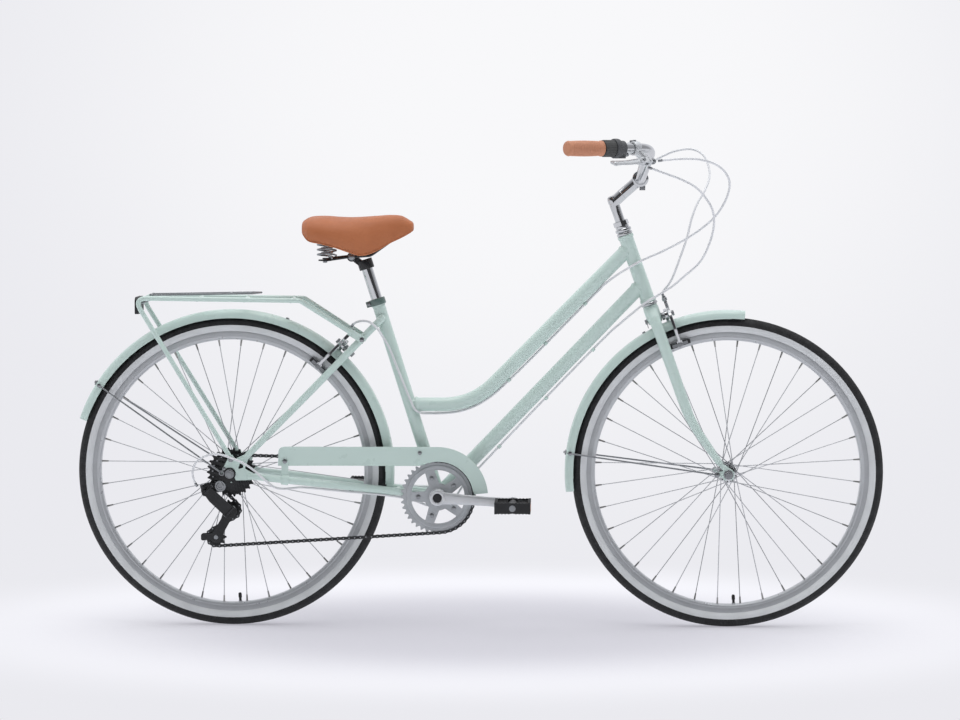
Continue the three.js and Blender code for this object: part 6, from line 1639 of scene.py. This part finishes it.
def cable(name, route, node, body=None):
    path = smooth(route, 6)
    shape = Shape().tube(path, 2.5, 14)
    for end, way in ((path[0], path[1] - path[0]), (path[-1], path[-2] - path[-1])):
        shape.lathe(end, way, [(0, 0), (2.9, 0), (3.1, 0.6), (3.1, 8.4), (2.6, 9.4)], 18, 1)
    return make(name, shape, [HOUSING, STEEL], body, [node], sharp=60)


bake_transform(cable("rear_brake_housing", REAR_BRAKE, "rear_brake_cable"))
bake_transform(cable("shift_housing", SHIFT, "shift_cable"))
cable("front_brake_housing", FRONT_BRAKE, "front_brake_cable", "front_assembly")


# Floor, backdrop and light
# PAPER_SHADE is the colour of the painted shadow under the bicycle
PAPER, PAPER_CLOUD, PAPER_SHADE = "#f4f4f7", "#f0f0f3", "#b6b5be"
# PAPER_FAR to PAPER_NEAR is a painted pool of light on the backdrop and floor, lightest behind the bicycle
PAPER_FAR, PAPER_NEAR = "#eaeaef", "#f8f8fa"
FLOOR_R = 30000
# The glow under the bicycle carries the painted shadow.
FLOOR_GLOW = 0.72                       # share of even light on the paper under the bicycle
SKY = (-0.1, 1.0, 0.3, 2.4)             # height of a direction, from and to, and the light there
TOWARD_CAMERA = (0.0, -1.0, -0.1)
CAMERA_SIDE = (0.1, 0.9, 1.0, 0.08)     # the light falls off toward the camera
# What polished metal reflects, from behind the bicycle to the camera
MIRRORED = ((0.2, 1.0), (0.4, 0.5), (0.58, 0.5), (0.78, 0.07))


def soft_ellipse():
    """1 inside an ellipsoid, 0 outside it, with a soft edge."""
    e = Effect("soft_ellipse", {"Place": "Vector", "Middle": "Vector", "Reach": "Vector", "Near": 0.1,
                                "Far": 1.0}, {"Inside": "Float"})
    moved = e.add("VectorMath", 0, {0: e.given["Place"], 1: e.given["Middle"]}, operation="SUBTRACT")
    scaled = e.add("VectorMath", 0, {0: moved, 1: e.given["Reach"]}, operation="DIVIDE")
    length = e.add("VectorMath", "Value", {0: scaled}, operation="LENGTH")
    return e.done(Inside=e.add("MapRange", "Result", {
        "Value": length, "From Min": e.given["Near"], "From Max": e.given["Far"], "To Min": 1.0, "To Max": 0.0},
        interpolation_type="SMOOTHERSTEP"))


ELLIPSE = soft_ellipse()


def backdrop_tone():
    """The colour of the empty studio in a direction, with a painted pool of light: lightest behind the bicycle.
    """
    e = Effect("backdrop_tone", {"Direction": "Vector"}, {"Colour": "Color"})
    light = e.add("Group", "Inside", {"Place": e.given["Direction"], "Middle": (-0.01, 1.0, 0.02),
                                      "Reach": (0.24, 1.0, 0.19), "Near": 0.1}, node_tree=ELLIPSE)
    return e.done(Colour=e.add("Mix", "Result", {"Factor": light, "A": rgb(PAPER_FAR), "B": rgb(PAPER_NEAR)},
                               data_type="RGBA"))


TONE = backdrop_tone()


def studio_paper():
    """Pale paper, seen as lit evenly away from the bicycle; under it, a painted shadow in its glow, mixed with
    its real shading.
    """
    s = Surface("studio_paper", PAPER, 0.95, specular=0.0)
    s.drift(PAPER_CLOUD, 1.5, amount=0.3)
    incoming = s.add("NewGeometry", "Incoming", {})
    seen_along = s.add("VectorMath", 0, {0: incoming, "Scale": -1.0}, operation="SCALE")
    tone = s.effect(TONE, "Colour", Direction=seen_along)
    place = s.add("TexCoord", "Object", {})
    # Painted shadow: under is a soft ellipse beneath the bicycle, where the paper's tone turns toward
    # PAPER_SHADE.
    under = s.effect(ELLIPSE, "Inside", Place=place, Middle=(0.0, -0.05, 0.0), Reach=(1.2, 0.85, 1.0), Near=0.3)
    about = s.effect(ELLIPSE, "Inside", Place=place, Middle=(0.0, 0.0, 0.0), Reach=(1.6, 1.2, 1.0), Near=0.4)
    shade = s.add("Mix", "Result", {"Factor": under, "A": tone, "B": rgb(PAPER_SHADE)}, data_type="RGBA")
    rays = s.add("LightPath", "Is Camera Ray", {}).node.outputs
    seen = s.either(*(rays[f"Is {kind} Ray"] for kind in ("Camera", "Glossy", "Transmission")))
    lit = s.add("MapRange", "Result", {"Value": about, "To Min": 1.0, "To Max": FLOOR_GLOW})
    share = s.add("Math", 0, {0: lit, 1: seen}, operation="MULTIPLY")
    glow = s.add("Emission", 0, {"Color": shade})
    mix = s.add("MixShader", 0, {0: share, 1: s.shader.outputs[0], 2: glow})
    s.feed(s.tree.nodes["Material Output"], {"Surface": mix})
    return s


def stage():
    part = bmesh.new()
    bmesh.ops.create_circle(part, cap_ends=True, segments=96, radius=FLOOR_R)
    make("studio_floor", Shape().take(part), studio_paper(), None)


def lamp(name, place, aim, size, power):
    data = bpy.data.lights.new(name, "AREA")
    data.shape = "RECTANGLE"
    data.size, data.size_y = size
    data.energy = power
    made = bpy.data.objects.new(name, data)
    made.location = place
    made.rotation_euler = (Vector(aim) - Vector(place)).to_track_quat("-Z", "Y").to_euler()
    made.visible_camera = False
    bpy.context.scene.collection.objects.link(made)


def room():
    """Soft light from all round, stronger from above; polished metal sees a dark patch beside the camera."""
    world = bpy.data.worlds.new("studio_air")
    world.use_nodes = True
    air = Nodes(world.node_tree)
    direction = air.add("TexCoord", "Generated", {})
    toward = air.add("VectorMath", "Value", {0: direction, 1: TOWARD_CAMERA}, operation="DOT_PRODUCT")
    height = air.add("SeparateXYZ", "Z", {"Vector": direction})
    sky, fall = (air.add("MapRange", "Result", {
        "Value": source, **dict(zip(("From Min", "From Max", "To Min", "To Max"), numbers))},
        interpolation_type="SMOOTHSTEP") for source, numbers in ((height, SKY), (toward, CAMERA_SIDE)))
    soft = air.add("Math", 0, {0: sky, 1: fall}, operation="MULTIPLY")
    share = air.add("MapRange", "Result", {"Value": toward, "From Min": -1.0})
    mirror = air.add("ValToRGB", "Color", {"Fac": share})
    stops = mirror.node.color_ramp.elements
    stops[0].position, stops[1].position = MIRRORED[0][0], MIRRORED[-1][0]
    for place, level in MIRRORED[1:-1]:
        stops.new(place)
    for stop, (place, level) in zip(stops, MIRRORED):
        stop.color = (level, level, level, 1.0)
    rays = air.add("LightPath", "Is Camera Ray", {}).node.outputs
    bent_rays = air.either(rays["Is Glossy Ray"], rays["Is Transmission Ray"])
    level = air.add("Mix", "Result", {"Factor": bent_rays, "A": soft, "B": mirror})
    strength = air.add("Mix", "Result", {"Factor": rays["Is Camera Ray"], "A": level, "B": 1.0})
    tone = air.add("Group", "Colour", {"Direction": direction}, node_tree=TONE)
    air.feed(air.tree.nodes["Background"], {"Color": tone, "Strength": strength})
    world.cycles.sampling_method = "NONE"
    bpy.context.scene.world = world


stage()
room()
lamp("overhead_softbox", (0.0, -0.3, 3.4), (0.0, 0.0, 0.4), (2.4, 1.6), 26.0)
